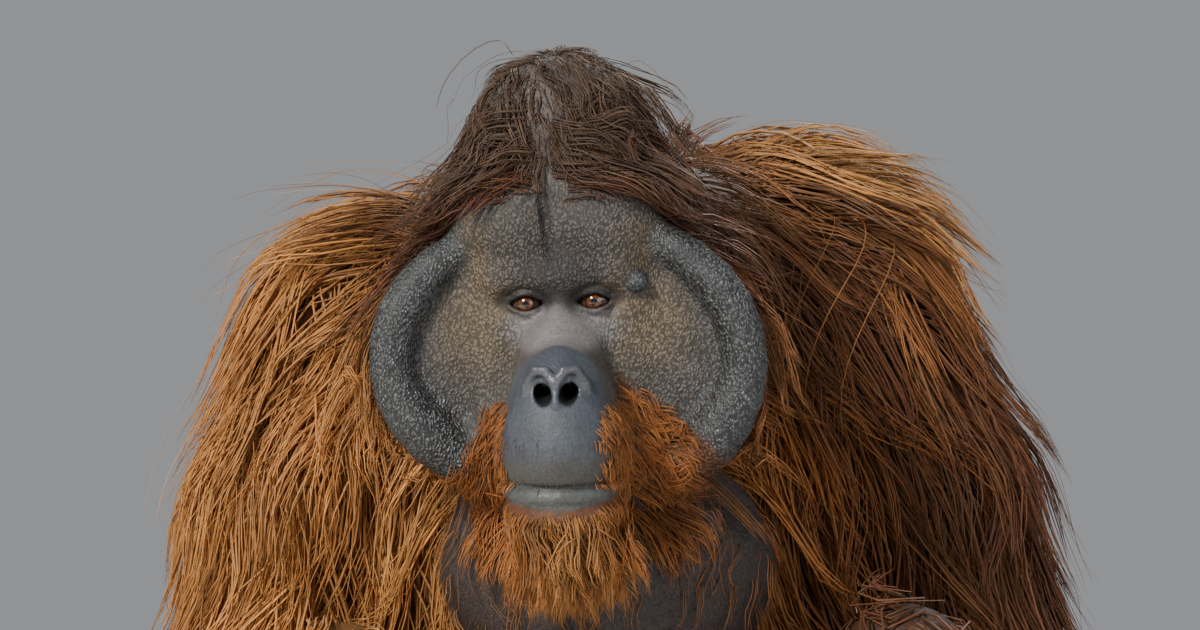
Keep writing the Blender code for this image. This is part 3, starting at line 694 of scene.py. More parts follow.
def muzzle_edge(face):
    """How far inside the bare muzzle's outline the points lie, in millimetres."""
    x, z = face[:, 0], face[:, 2]
    heights = (-152.0, -142.0, -134.0, -122.0, -106.0, -95.0, -71.0, -52.0, -42.0, -34.0, -29.0, -26.0)
    right = np.interp(z, heights, (-20.0, 36.0, 43.0, 46.0, 50.0, 50.0, 44.0, 36.0, 29.0, 20.0, 8.0, -20.0))
    left = np.interp(z, heights, (-20.0, 33.0, 38.0, 40.0, 39.0, 38.0, 37.0, 34.0, 28.0, 20.0, 8.0, -20.0))
    return np.where(x > 0.0, left, right) - np.abs(x)


def cheek_line(face):
    """How far below the line between a cheek pad and the cheek's hair the points lie."""
    x, z = face[:, 0], face[:, 2]
    left = np.interp(x, (0.0, 33.0, 60.0, 104.0, 120.0), (-36.0, -39.0, -64.0, -98.0, -118.0))
    right = np.interp(-x, (0.0, 40.0, 56.0, 78.0, 110.0), (-30.0, -50.0, -78.0, -118.0, -150.0))
    return np.where(x > 0.0, left, right) - z


def rim_distance(face):
    sides = [chain(pad_rim(side), PAD_RIM)(face) for side in SIDES]
    return np.minimum(*sides)


def eye_distance(face):
    """The distance from the nearer eye's centre, seen from the front, with the height doubled."""
    x = np.abs(face[:, 0]) - EYE_SPACING / 2 - 1.5
    return np.hypot(x, 2.0 * face[:, 2])


def limb_distance(points):
    """The distance from the nearest hand or foot, in metres."""
    names = [part + "_" + side for part in ("hand", "foot") for side in SIDES]
    return np.minimum.reduce([FIELDS[name](points) for name in names])


def hair_tone(points):
    """The coat's colour where it grows: golden orange on the right arm, partly painted sunlight; golden on
    top of the back on the left as painted rim light; dark on the left and under the head as painted shade;
    dark on the head and neck, the neck partly painted shade.
    """
    colours = bpy.context.scene.orangutan_coat
    x, y, z = points.T
    face = to_face(points)
    golden = np.array(colours.golden)
    orange = np.array(colours.orange)
    dark = np.array(colours.dark)
    crown = np.array(colours.crown)
    swirl = np.sin(17.0 * x + 9.0 * z) * np.sin(13.0 * z - 11.0 * y + 1.7) * 0.5 + 0.5
    # Painted shade on the left side, away from the light, darkened towards the dark hair.
    left = rise(x + 0.05 * np.sin(9.0 * z), 0.05, 0.17) * rise(z, 0.16, 0.30) * rise(y, -0.42, -0.26)
    # Painted rim light on top of the back on the left: made golden and kept out of the painted shade.
    rim_lit_hump = rise(z, 0.64, 0.70) * rise(x, 0.02, 0.10)
    left = np.clip(left * (1.0 - 0.75 * rim_lit_hump), 0.0, 1.0)
    # Painted shade on the front of the torso, under the head and between the arms.
    under = rise(y, -0.10, -0.24) * rise(np.abs(x), 0.20, 0.12) * 0.6
    head = rise(-FIELDS["head"](points), -0.030, -0.008) * rise(face[:, 2], 8.0, 40.0)
    # The head's dark is dark hair; the neck's is dark hair and painted shade beside the head.
    neck = rise(-FIELDS["neck"](points), -0.03, 0.0) * rise(z, 0.55, 0.62)
    # Golden towards the right side: partly the hair's own lighter locks, partly painted sunlight, varied in
    # swirls.
    tone = orange + (golden - orange) * ((0.30 + 0.60 * swirl) * rise(x, 0.16, -0.10))[:, None]
    tone = tone + (golden * 0.9 - tone) * (0.85 * rim_lit_hump * rise(z, 0.66, 0.70))[:, None]
    tone = tone + (dark - tone) * (0.86 * np.maximum(left, under))[:, None]
    tone = tone + (dark * 1.15 - tone) * np.maximum(head, 0.8 * neck)[:, None]
    top = head * rise(face[:, 2], 88.0, 120.0) * rise(np.abs(face[:, 0] + 6.0), 74.0, 44.0)
    return tone + (crown - tone) * (0.9 * top)[:, None]


def skin_tones(points):
    """The skin's colour, with painted shade round the eyes, in the nostrils, along the mouth, in the
    forehead's groove and on the low brow, and a painted highlight on the nose's hood; and its relief: the
    share of pebbles and of gloss.
    """
    colours = bpy.context.scene.orangutan_skin
    face = to_face(points)
    x, y, z = face.T
    on_head = rise(FIELDS["head"](points), 0.012, 0.002)
    front = on_head * rise(y, 70.0, 40.0)
    # The skin under the coat takes the coat's colours, darkened, with their painted light and shade.
    tone = hair_tone(points) * 0.55
    hide = np.array(colours.grey)

    def wash(colour, share):
        nonlocal tone
        tone = tone + (np.array(colour) - tone) * np.clip(share, 0.0, 1.0)[:, None]

    bare = front * rise(z, 98.0, 84.0)
    wash(hide, bare)
    wash(np.array(bpy.context.scene.orangutan_coat.crown) * 0.9, on_head * rise(z, 84.0, 104.0) * 0.8)
    pads = front * rise(np.abs(x), 18.0, 42.0) * rise(z, -150.0, -96.0) * rise(z, 76.0, 50.0)
    centre = np.hypot((np.abs(x) - 62.0) / 48.0, (z - 2.0) / 62.0)
    wash(colours.pad, pads)
    wash(colours.olive, pads * rise(centre, 1.25, 0.35))
    wash(colours.olive, front * rise(np.hypot((np.abs(x) - 60) / 1.2, z - 30), 44.0, 20.0) * 0.8)
    rim = rim_distance(face)
    spread = 3.0 + 30.0 * rise(z, -30.0, -110.0)
    rims = front * rise(rim, spread + 2.0, 0.5) * rise(np.abs(x), 58.0, 72.0)
    near_rim = front * rise(rim, 24.0, 2.0) * rise(np.abs(x), 58.0, 72.0) * rise(z, 96.0, 70.0)
    wash(np.array(colours.rim) * 0.8, near_rim * 0.55)
    wash(colours.rim, rims)
    bridge = rise(np.hypot(x / 54.0, (z + 20.0) / 20.0), 1.10, 0.50)
    wash(colours.pale, front * bridge)
    brow = rise(np.hypot(x / 52.0, (z - 34.0) / 32.0), 1.15, 0.8) * rise(z, 6.0, 14.0)
    wash(colours.forehead, front * rise(z, 4.0, 26.0) * rise(np.abs(x), 62.0, 44.0) * 0.9)
    # Painted shade on the low brow between the eyes.
    brow_shade = rise(np.hypot(x / 34.0, (z - 26.0) / 22.0), 1.3, 0.5)
    wash(hide * 0.7, front * brow_shade * 0.75)
    # Painted shade in the forehead's groove.
    groove = chain(FOREHEAD_GROOVE, 1.0)(face)
    wash(hide * 0.22, front * rise(groove, 5.5, 1.0) * 0.85)
    inside = muzzle_edge(face)
    wash(colours.slate, front * rise(inside, -1.0, 5.0))
    whiskers = rise(inside, -1.0, -7.0) * rise(cheek_line(face), 2.0, 12.0)
    whiskers = whiskers * rise(z, -42.0, -54.0) * rise(y, 46.0, 30.0)
    beard = rise(z, -150.0, -162.0) * rise(z, -204.0, -190.0) * rise(y, 46.0, 20.0)
    wash(np.array(bpy.context.scene.orangutan_coat.orange) * 0.5, front * np.maximum(whiskers, beard) * 0.9)
    lip = rise(z, -96.0, -122.0) * rise(z, -136.0, -130.0)
    wash(colours.stubble, front * lip * rise(inside, -2.0, 6.0) * 0.75)
    lower = rise(np.abs(z + 141.0), 8.5, 5.0) * rise(inside, -3.0, 2.0)
    wash(colours.lip, front * lower * rise(y, 20.0, 0.0))
    # Painted highlight along the nose's hood, over the nostrils.
    highlight_line = [(22, -66, -66), (21.5, -71, -56), (18, -76, -49), (13, -79, -45), (8, -80, -45.5), (0, -84, -54)]
    highlight_line = [(-a, b, c) for a, b, c in highlight_line] + highlight_line[-2::-1]
    wash(np.array(colours.pale), front * rise(chain(highlight_line, 1.0)(face), 3.6, 1.0) * 0.32)
    # Painted shade in the nostrils, a little wider than the carved holes.
    hole = np.minimum(*[nostril(sign, [5.9, 6.8, 5.2])(face) for sign in (-1.0, 1.0)])
    wash((0.004, 0.004, 0.005), front * rise(hole, 2.0, 0.2))
    # Painted shade round the eyes, deepest above them under the brow.
    eye = eye_distance(face)
    upper = rise(z, -4.0, 3.0)
    wash((0.016, 0.012, 0.011), front * rise(eye, 24.0 + 9.0 * upper, 14.0) * (0.55 + 0.4 * upper))
    under = rise(np.hypot((np.abs(x) - EYE_SPACING / 2) / 15.0, (z + 8.2) / 1.7), 1.3, 0.7)
    wash(np.array(colours.pale) * 0.95, front * under * 0.8)
    wart = np.linalg.norm(face - np.array(WART), axis=1)
    wash(colours.rim, front * rise(wart, 11.5, 8.5))
    pouch = rise(FIELDS["throat_pouch"](points), 0.02, 0.004) * rise(face[:, 2], -120.0, -150.0)
    wash(hide * 0.85, pouch * 0.9)
    limbs = limb_distance(points)
    palms = rise(limbs, 0.012, 0.003)
    wash(colours.palm, palms)
    # Painted shade along the mouth's slit.
    mouth = chain([lip_line(s, 0.0, 5.0) for s in np.linspace(-1.0, 1.0, 17)], 1.0)(face)
    wash((0.010, 0.009, 0.009), front * rise(mouth, 2.6, 0.4) * 0.9)
    hood = front * rise(inside, 0.0, 10.0) * rise(z, -80.0, -50.0)
    above = bare * rise(z, 20.0, 50.0) * 0.8
    pebbles = np.maximum.reduce([rims, pads * 0.75, front * brow * 0.9, above])
    pebbles = pebbles * (1.0 - front * rise(inside, -6.0, 6.0))
    pebbles = pebbles * (1.0 - 0.9 * front * rise(eye, 28.0, 18.0))
    pebbles = np.maximum.reduce([pebbles, palms * 0.35, 0.35 * pouch])
    gloss = np.maximum.reduce([rims * 0.8, hood, 0.5 * front * lower])
    return tone, np.stack([pebbles, gloss, np.zeros_like(gloss)], axis=1)


def add_node(tree, kind, inputs=None, **settings):
    """A node with its settings made and its inputs set or joined."""
    node = tree.nodes.new(kind)
    for name, value in settings.items():
        setattr(node, name, value)
    for name, value in (inputs or {}).items():
        if isinstance(value, bpy.types.NodeSocket):
            tree.links.new(value, node.inputs[name])
        else:
            node.inputs[name].default_value = value
    return node


def maths(tree, operation, first, second=0.0, third=0.0):
    inputs = {0: first, 1: second, 2: third}
    return add_node(tree, "ShaderNodeMath", inputs, operation=operation).outputs[0]


def mixed(tree, factor, first, second):
    """Two colours mixed."""
    return add_node(tree, "ShaderNodeMix", {0: factor, 6: first, 7: second}, data_type="RGBA").outputs[2]


def vectors(tree, operation, first, second):
    """A sum, difference or product of two vectors, or a vector scaled by a number."""
    key = "Scale" if operation == "SCALE" else 1
    node = add_node(tree, "ShaderNodeVectorMath", {0: first, key: second}, operation=operation)
    return node.outputs[0]


def spread_over(tree, value, from_low, from_high, low, high):
    """A value moved smoothly from one range to another."""
    inputs = {0: value, 1: from_low, 2: from_high, 3: low, 4: high}
    return add_node(tree, "ShaderNodeMapRange", inputs, interpolation_type="SMOOTHSTEP").outputs[0]


def group_tree(name, inputs, outputs):
    """An empty shader group with float inputs and outputs of the given kinds."""
    tree = bpy.data.node_groups.new(name, "ShaderNodeTree")
    for label, value in inputs.items():
        socket = tree.interface.new_socket(name=label, in_out="INPUT", socket_type="NodeSocketFloat")
        socket.default_value = value
    for label, kind in outputs.items():
        tree.interface.new_socket(name=label, in_out="OUTPUT", socket_type=kind)
    return tree, tree.nodes.new("NodeGroupInput"), tree.nodes.new("NodeGroupOutput")


def pebble_group():
    """Pebbled hide: round grains and the crevices between them, in rows that wander. The hide darkens the
    crevices as painted shade.
    """
    inputs = {"Grain": 300.0, "Wander": 0.0016, "Stretch": 0.7}
    outputs = {"Height": "NodeSocketFloat", "Crevice": "NodeSocketFloat"}
    tree, given, result = group_tree("pebbled hide", inputs, outputs)
    place = add_node(tree, "ShaderNodeTexCoord").outputs["Object"]
    noise = add_node(tree, "ShaderNodeTexNoise", {"Vector": place, "Scale": 110.0, "Detail": 1.0})
    shift = vectors(tree, "SUBTRACT", noise.outputs["Color"], (0.5, 0.5, 0.5))
    shift = vectors(tree, "SCALE", shift, given.outputs["Wander"])
    moved = vectors(tree, "ADD", place, vectors(tree, "SCALE", shift, 2.0))
    squeeze = add_node(tree, "ShaderNodeCombineXYZ", {0: 1.0, 1: 1.0, 2: given.outputs["Stretch"]})
    moved = vectors(tree, "MULTIPLY", moved, squeeze.outputs[0])
    grains = add_node(
        tree, "ShaderNodeTexVoronoi",
        {"Vector": moved, "Scale": given.outputs["Grain"], "Smoothness": 0.25}, feature="SMOOTH_F1",
    )
    away = grains.outputs["Distance"]
    tree.links.new(spread_over(tree, away, 0.72, 0.05, 0.0, 1.0), result.inputs["Height"])
    tree.links.new(spread_over(tree, away, 0.36, 0.70, 0.0, 1.0), result.inputs["Crevice"])
    return tree


def mottle_group():
    """Uneven colour in patches of two sizes, as a factor around one."""
    inputs = {"Patch": 40.0, "Strength": 0.3}
    tree, given, result = group_tree("mottling", inputs, {"Factor": "NodeSocketFloat"})
    place = add_node(tree, "ShaderNodeTexCoord").outputs["Object"]
    inputs = {"Vector": place, "Scale": given.outputs["Patch"], "Detail": 4.0}
    patches = add_node(tree, "ShaderNodeTexNoise", inputs)
    centred = maths(tree, "SUBTRACT", patches.outputs["Fac"], 0.5)
    scaled = maths(tree, "MULTIPLY", centred, given.outputs["Strength"])
    tree.links.new(maths(tree, "MULTIPLY_ADD", scaled, 2.0, 1.0), result.inputs["Factor"])
    return tree


def place_group(tree, name, values):
    node = add_node(tree, "ShaderNodeGroup", node_tree=bpy.data.node_groups[name])
    for label, value in values.items():
        node.inputs[label].default_value = value
    return node


def new_material(name):
    material = bpy.data.materials.new(name)
    material.use_nodes = True
    tree = material.node_tree
    return material, tree, tree.nodes["Principled BSDF"]


def set_tone(tree, shader, colour, factor):
    """Give the shader a colour made darker or lighter by a factor."""
    tree.links.new(vectors(tree, "SCALE", colour, factor), shader.inputs["Base Color"])


def set_bump(tree, shader, height, strength=1.0):
    """Give the shader a relief, by its height in metres."""
    inputs = {"Strength": strength, "Distance": 1.0, "Height": height}
    tree.links.new(add_node(tree, "ShaderNodeBump", inputs).outputs[0], shader.inputs["Normal"])


def flat_tint(tree, colour):
    tint = add_node(tree, "ShaderNodeRGB").outputs[0]
    tint.default_value = (*colour, 1.0)
    return tint


def skin_material():
    """Pebbled, wrinkled hide in the colours painted on the skin, with painted shade in the pebbles' crevices
    and painted light on their tops.
    """
    material, tree, shader = new_material("orangutan_hide")
    tone = add_node(tree, "ShaderNodeAttribute", attribute_name="tone").outputs["Color"]
    relief = add_node(tree, "ShaderNodeAttribute", attribute_name="relief").outputs["Color"]
    parts = add_node(tree, "ShaderNodeSeparateColor", {0: relief}).outputs
    coarse = place_group(tree, "pebbled hide", {"Grain": 470.0, "Wander": 0.0026, "Stretch": 0.72})
    fine = place_group(tree, "pebbled hide", {"Grain": 700.0, "Wander": 0.0006, "Stretch": 1.0})
    patches = place_group(tree, "mottling", {"Patch": 38.0, "Strength": 0.55})
    specks = place_group(tree, "mottling", {"Patch": 420.0, "Strength": 0.55})
    shade = maths(tree, "MULTIPLY", patches.outputs["Factor"], specks.outputs["Factor"])
    # Painted shade in the crevices between the pebbles.
    crevice = maths(tree, "MULTIPLY", coarse.outputs["Crevice"], parts[0])
    darker = maths(tree, "MULTIPLY", crevice, -0.70)
    shade = maths(tree, "MULTIPLY", shade, maths(tree, "ADD", darker, 1.0))
    # Painted light on the pebbles' tops: the hide is darkened to half, less where the pebbles rise.
    lift = maths(tree, "MULTIPLY", coarse.outputs["Height"], parts[0])
    shade = maths(tree, "MULTIPLY", shade, maths(tree, "MULTIPLY_ADD", lift, 0.30, 0.5))
    set_tone(tree, shader, tone, shade)
    grain = maths(tree, "MULTIPLY", maths(tree, "MULTIPLY", coarse.outputs["Height"], parts[0]), 0.0011)
    pores = maths(tree, "MULTIPLY", fine.outputs["Height"], 0.00014)
    place = add_node(tree, "ShaderNodeTexCoord").outputs["Object"]
    inputs = {"Vector": place, "Scale": 210.0, "Detail": 3.0, "Distortion": 0.6}
    wrinkles = add_node(tree, "ShaderNodeTexNoise", inputs)
    folds = maths(tree, "MULTIPLY", wrinkles.outputs["Fac"], 0.0006)
    set_bump(tree, shader, maths(tree, "ADD", maths(tree, "ADD", grain, pores), folds))
    rough = spread_over(tree, parts[1], 0.0, 1.0, 0.60, 0.32)
    rough = maths(tree, "ADD", rough, maths(tree, "MULTIPLY", crevice, 0.15))
    tree.links.new(rough, shader.inputs["Roughness"])
    shader.inputs["Specular IOR Level"].default_value = 0.55
    return material


def horn_material(colour):
    """Hard, faintly grained horn for the nails."""
    material, tree, shader = new_material("horn")
    patches = place_group(tree, "mottling", {"Patch": 60.0, "Strength": 0.25})
    set_tone(tree, shader, flat_tint(tree, colour), patches.outputs["Factor"])
    pebbles = place_group(tree, "pebbled hide", {"Grain": 600.0, "Wander": 0.0005, "Stretch": 1.0})
    set_bump(tree, shader, maths(tree, "MULTIPLY", pebbles.outputs["Height"], 0.0001))
    shader.inputs["Roughness"].default_value = 0.35
    return material


def make_skin():
    """The bare skin of the whole body, with its mesh thinned where the coat hides it."""
    points, quads = skin_surface()
    mesh = mesh_of("skin", points, quads)
    skin = add_object("skin", mesh)
    face = to_face(points)
    coated = rise(FIELDS["head"](points), 0.0, 0.03)
    coated = np.maximum(coated, rise(face[:, 1], 50.0, 90.0))
    limbs = limb_distance(points)
    coated = coated * rise(limbs, 0.002, 0.03) * rise(FIELDS["throat_pouch"](points), 0.0, 0.03)
    group = skin.vertex_groups.new(name="coated")
    for level in range(1, 11):
        members = np.flatnonzero(np.round(coated * 10) == level).tolist()
        if members:
            group.add(members, level / 10, "REPLACE")
    thin = skin.modifiers.new("thin", "DECIMATE")
    thin.ratio = min(1.0, SKIN_TRIANGLES / (2 * len(quads)))
    thin.vertex_group = "coated"
    thin.vertex_group_factor = 4.0
    thin.use_collapse_triangulate = True
    baked(skin)
    skin.vertex_groups.clear()
    mesh = skin.data
    mesh.shade_smooth()
    tone, relief = skin_tones(points_of(mesh))
    paint(mesh, "tone", tone)
    paint(mesh, "relief", relief)
    nodes = [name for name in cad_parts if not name.startswith("eye")]
    hand_in(skin, skin_material(), "face_skin", *nodes)
    return skin


def eye_centre(side):
    offset = Vector((EYE_SPACING / 2 * SIDES[side], EYE_CENTRE_BACK, 0.0)) * MM
    return head_place() @ offset


def eye_material():
    """An amber iris with dark streaks and a black pupil, in a brown eyeball under a wet surface."""
    colours = bpy.context.scene.orangutan_eyes
    material, tree, shader = new_material("amber_eye")
    rings = add_node(tree, "ShaderNodeAttribute", attribute_name="iris").outputs["Color"]
    parts = add_node(tree, "ShaderNodeSeparateColor", {0: rings}).outputs
    place = add_node(tree, "ShaderNodeTexCoord").outputs["Object"]
    streaks = add_node(tree, "ShaderNodeTexNoise", {"Vector": place, "Scale": 900.0, "Detail": 3.0})
    fibres = spread_over(tree, streaks.outputs["Fac"], 0.3, 0.7, 0.0, 1.0)
    iris = mixed(tree, fibres, (*colours.iris_dark, 1.0), (*colours.iris, 1.0))
    rim = [value * 0.3 for value in colours.iris_dark]
    tone = mixed(tree, spread_over(tree, parts[0], 0.75, 1.0, 0.0, 1.0), iris, (*rim, 1.0))
    tone = mixed(tree, spread_over(tree, parts[0], 1.0, 1.12, 0.0, 1.0), tone, (*colours.white, 1.0))
    pupil = spread_over(tree, parts[0], 0.40, 0.34, 0.0, 1.0)
    tone = mixed(tree, pupil, tone, (0.003, 0.002, 0.002, 1.0))
    tree.links.new(tone, shader.inputs["Base Color"])
    shader.inputs["Roughness"].default_value = 0.12
    shader.inputs["Coat Weight"].default_value = 1.0
    shader.inputs["Coat Roughness"].default_value = 0.03
    return material


def make_eyes():
    """Each eyeball looks ahead along the head, with a bulging cornea."""
    sizes = bpy.context.scene.orangutan_eyes
    material = eye_material()
    for side in SIDES:
        centre = eye_centre(side)
        shape = bmesh.new()
        bmesh.ops.create_uvsphere(shape, u_segments=64, v_segments=40, radius=EYE_RADIUS * MM)
        turn = head_place().to_3x3() @ Matrix.Rotation(math.radians(90.0 + sizes.look_up), 3, "X")
        turn = turn.to_4x4()
        rings = []
        for vert in shape.verts:
            away = math.hypot(vert.co.x, vert.co.y)
            share = away / sizes.iris_radius if vert.co.z > 0.0 else BEHIND
            rings.append(min(share, BEHIND))
            vert.co.z += max(0.0, 1.0 - share**2) * CORNEA_BULGE
        bmesh.ops.transform(shape, matrix=Matrix.Translation(centre) @ turn, verts=shape.verts)
        mesh = bpy.data.meshes.new("eyeball_" + side)
        shape.to_mesh(mesh)
        shape.free()
        mesh.shade_smooth()
        paint(mesh, "iris", np.repeat(np.array(rings)[:, None], 3, axis=1))
        eye = add_object("eyeball_" + side, mesh)
        hand_in(eye, material, "eye", "eye_" + side)


def nail_mesh(shape, path, radius):
    """One curved nail on top of a digit's last bone."""
    tip, before = Vector(path[-1]), Vector(path[-2])
    ahead = (tip - before).normalized()
    side = ahead.cross(Vector((0.0, 0.0, 1.0))).normalized()
    up = side.cross(ahead)
    place = Matrix((side, ahead, up)).transposed().to_4x4()
    centre = tip + up * radius * 0.52 + ahead * radius * 0.42
    scale = Matrix.Diagonal((radius * 0.74, radius * 0.86, radius * 0.56, 1.0))
    matrix = Matrix.Translation(centre) @ place @ scale
    bmesh.ops.create_uvsphere(shape, u_segments=20, v_segments=12, radius=1.0, matrix=matrix)


def make_nails():
    """The nails of all fingers and toes, as one mesh."""
    colours = bpy.context.scene.orangutan_skin
    shape = bmesh.new()
    for side in SIDES:
        for path, radii in hand_digits(side) + foot_digits(side):
            nail_mesh(shape, path, radii[-1])
    mesh = bpy.data.meshes.new("nails")
    shape.to_mesh(mesh)
    shape.free()
    mesh.shade_smooth()
    hand_in(add_object("nails", mesh), horn_material(colours.nail), "hand_skin")


def add_light(name, place, target, size, power, colour):
    """A round soft light at a place, aimed at a target."""
    light = bpy.data.lights.new(name, "AREA")
    light.shape = "DISK"
    light.size = size
    light.energy = power
    light.color = colour
    thing = bpy.data.objects.new(name, light)
    bpy.context.scene.collection.objects.link(thing)
    thing.location = place
    thing.rotation_euler = (Vector(target) - Vector(place)).to_track_quat("-Z", "Y").to_euler()


def floor_material():
    """Pale paper with a faint, broad unevenness."""
    material, tree, shader = new_material("pale_paper")
    patches = place_group(tree, "mottling", {"Patch": 1.5, "Strength": 0.05})
    set_tone(tree, shader, flat_tint(tree, (0.72, 0.71, 0.69)), patches.outputs["Factor"])
    shader.inputs["Roughness"].default_value = 0.85
    return material


def add_floor():
    """A round, pale floor, small enough to end below the picture."""
    reach, sides = 3.2, 96
    turns = [2.0 * math.pi * side / sides for side in range(sides)]
    points = [(reach * math.cos(turn), reach * math.sin(turn), 0.0) for turn in turns]
    mesh = bpy.data.meshes.new("floor")
    mesh.from_pydata(points, [], [tuple(range(sides))])
    mesh.shade_smooth()
    ground = add_object("floor", mesh)
    ground.data.materials.append(floor_material())


def make_stage():
    """The camera, the floor, three lights and the sky."""
    sizes = bpy.context.scene.orangutan_stage
    scene = bpy.context.scene
    target = Vector((-0.012, -0.300, sizes.target_height))
    tilt = sizes.camera_elevation
    place = target + Vector((0.0, -math.cos(tilt), math.sin(tilt))) * sizes.camera_distance
    camera = bpy.data.cameras.new("camera")
    camera.sensor_width = 36.0
    camera.lens = 36.0 * sizes.camera_distance / sizes.picture_width
    camera.clip_end = 50.0
    thing = bpy.data.objects.new("camera", camera)
    scene.collection.objects.link(thing)
    thing.location = place
    thing.rotation_euler = (target - place).to_track_quat("-Z", "Y").to_euler()
    scene.camera = thing
    add_floor()
    add_light("key", (-1.9, -2.6, 2.7), (-0.02, -0.2, 0.5), 0.9, sizes.key_power, (1.0, 0.96, 0.90))
    add_light("fill", (2.6, -2.4, 1.3), (0.0, -0.1, 0.45), 2.4, sizes.key_power * 0.16, (0.90, 0.95, 1.0))
    add_light("back", (0.9, 2.4, 2.6), (0.05, 0.0, 0.55), 1.4, sizes.key_power * 0.34, (1.0, 0.95, 0.88))
    world = bpy.data.worlds.new("studio")
    world.use_nodes = True
    world.node_tree.nodes["Background"].inputs[0].default_value = (0.80, 0.82, 0.85, 1.0)
    world.node_tree.nodes["Background"].inputs[1].default_value = sizes.sky
    scene.world = world


def colour_setting(name, description, value):
    """A colour that can be set in the panel."""
    return FloatVectorProperty(
        name=name, description=description, default=value, subtype="COLOR", min=0.0, max=1.0
    )


def length_setting(name, description, value):
    """A length, in metres, that can be set in the panel."""
    return FloatProperty(name=name, description=description, default=value, unit="LENGTH")


class OrangutanSkin(bpy.types.PropertyGroup):
    """The skin's and the nails' colours"""

    grey: colour_setting("Hide", "Bare hide of the forehead and throat", (0.085, 0.072, 0.070))
    slate: colour_setting("Muzzle", "Blue-grey nose and muzzle", (0.118, 0.135, 0.168))
    pale: colour_setting("Bridge", "Pale skin below the eyes", (0.30, 0.275, 0.275))
    pad: colour_setting("Pad skin", "Grey of the cheek pads", (0.150, 0.132, 0.118))
    forehead: colour_setting("Forehead", "Brown grey of the forehead", (0.135, 0.112, 0.098))
    olive: colour_setting("Cheek pads", "Tan inner side of the cheek pads", (0.235, 0.180, 0.110))
    rim: colour_setting("Pad rims", "Dark pebbled rims of the cheek pads", (0.115, 0.122, 0.126))
    stubble: colour_setting("Upper lip", "Stubbly skin above the mouth", (0.115, 0.110, 0.080))
    lip: colour_setting("Lower lip", "Smooth lower lip", (0.150, 0.160, 0.150))
    palm: colour_setting("Hands and feet", "Dark skin of the hands and feet", (0.040, 0.034, 0.032))
    nail: colour_setting("Nails", "Dark horn of the nails", (0.022, 0.018, 0.016))


class OrangutanCoat(bpy.types.PropertyGroup):
    """The coat's colours"""

    # Golden also paints the sunlight on the right arm and the rim light on top of the back; dark also paints
    # the shade on the left side and under the head.
    golden: colour_setting("Golden hair", "Lightest locks of the arms", (0.70, 0.34, 0.10))
    orange: colour_setting("Orange hair", "Main colour of the coat", (0.46, 0.145, 0.028))
    dark: colour_setting("Dark hair", "Shaded side, back of the head and shoulders", (0.085, 0.024, 0.011))
    crown: colour_setting("Crown hair", "Short hair on the crown", (0.085, 0.052, 0.036))
    bristle_density: FloatProperty(name="Bristles", description="Bristles per square metre", default=90000.0)
    bristle_length: length_setting("Bristle length", "Longest bristle", 0.011)


class OrangutanEyes(bpy.types.PropertyGroup):
    """The eyes' sizes and colours"""

    iris: colour_setting("Iris", "Amber of the iris", (0.14, 0.043, 0.009))
    iris_dark: colour_setting("Iris streaks", "Dark streaks in the iris", (0.055, 0.016, 0.005))
    white: colour_setting("Eyeball", "Brown of the eyeball round the iris", (0.055, 0.030, 0.021))
    iris_radius: length_setting("Iris radius", "From its middle to its edge", 0.0066)
    look_up: FloatProperty(name="Gaze", description="Degrees that the eyes look up", default=0.0)


class OrangutanStage(bpy.types.PropertyGroup):
    """The camera and the lights"""

    camera_distance: length_setting("Camera distance", "From the face", 5.0)
    camera_elevation: FloatProperty(
        name="Camera elevation", description="Above the level", default=math.radians(2.0), subtype="ANGLE"
    )
    picture_width: length_setting("Picture width", "At the face", 0.894)
    target_height: length_setting("Aim", "Height of the picture's middle", 0.611)
    key_power: FloatProperty(name="Key light", description="Power of the main light", default=190.0)
    sky: FloatProperty(name="Sky", description="Strength of the surrounding light", default=0.38)


class ORANGUTAN_OT_stage(bpy.types.Operator):
    """Make the camera, the lights and the floor"""

    bl_idname = "orangutan.stage"
    bl_label = "Stage"

    def execute(self, context):
        make_stage()
        return {"FINISHED"}


class ORANGUTAN_OT_skin(bpy.types.Operator):
    """Make the skin of the whole body"""

    bl_idname = "orangutan.skin"
    bl_label = "Skin"

    def execute(self, context):
        make_skin()
        return {"FINISHED"}


class ORANGUTAN_OT_eyes(bpy.types.Operator):
    """Make both eyes"""

    bl_idname = "orangutan.eyes"
    bl_label = "Eyes"

    def execute(self, context):
        make_eyes()
        return {"FINISHED"}


class ORANGUTAN_OT_nails(bpy.types.Operator):
    """Make the nails of the fingers and toes"""

    bl_idname = "orangutan.nails"
    bl_label = "Nails"

    def execute(self, context):
        make_nails()
        return {"FINISHED"}


# A layer of a coat: the part that it grows on, where on it, how many guide locks and strands to each,
# the strands' length and width, the lowest and highest lift of their tips, the spread of a lock's
# roots, how far its tips gather, its waves' size, the share of a strand after which it hangs free,
# and its rings of corners. Sizes are in metres.
Layer = namedtuple("Layer", "part where guides strands length width lift spread gather wave free rings")


def arm_layers(side):
    """The coat of one arm, of the side that ends its parts' names."""
    return [
        Layer("upper_arm" + side, "all", 330, 11, 0.22, 0.0024, (0.010, 0.058), 0.032, 0.80, 0.007, 0.62, 6),
        Layer("forearm" + side, "all", 170, 10, 0.16, 0.0023, (0.008, 0.040), 0.026, 0.70, 0.006, 0.50, 6),
    ]


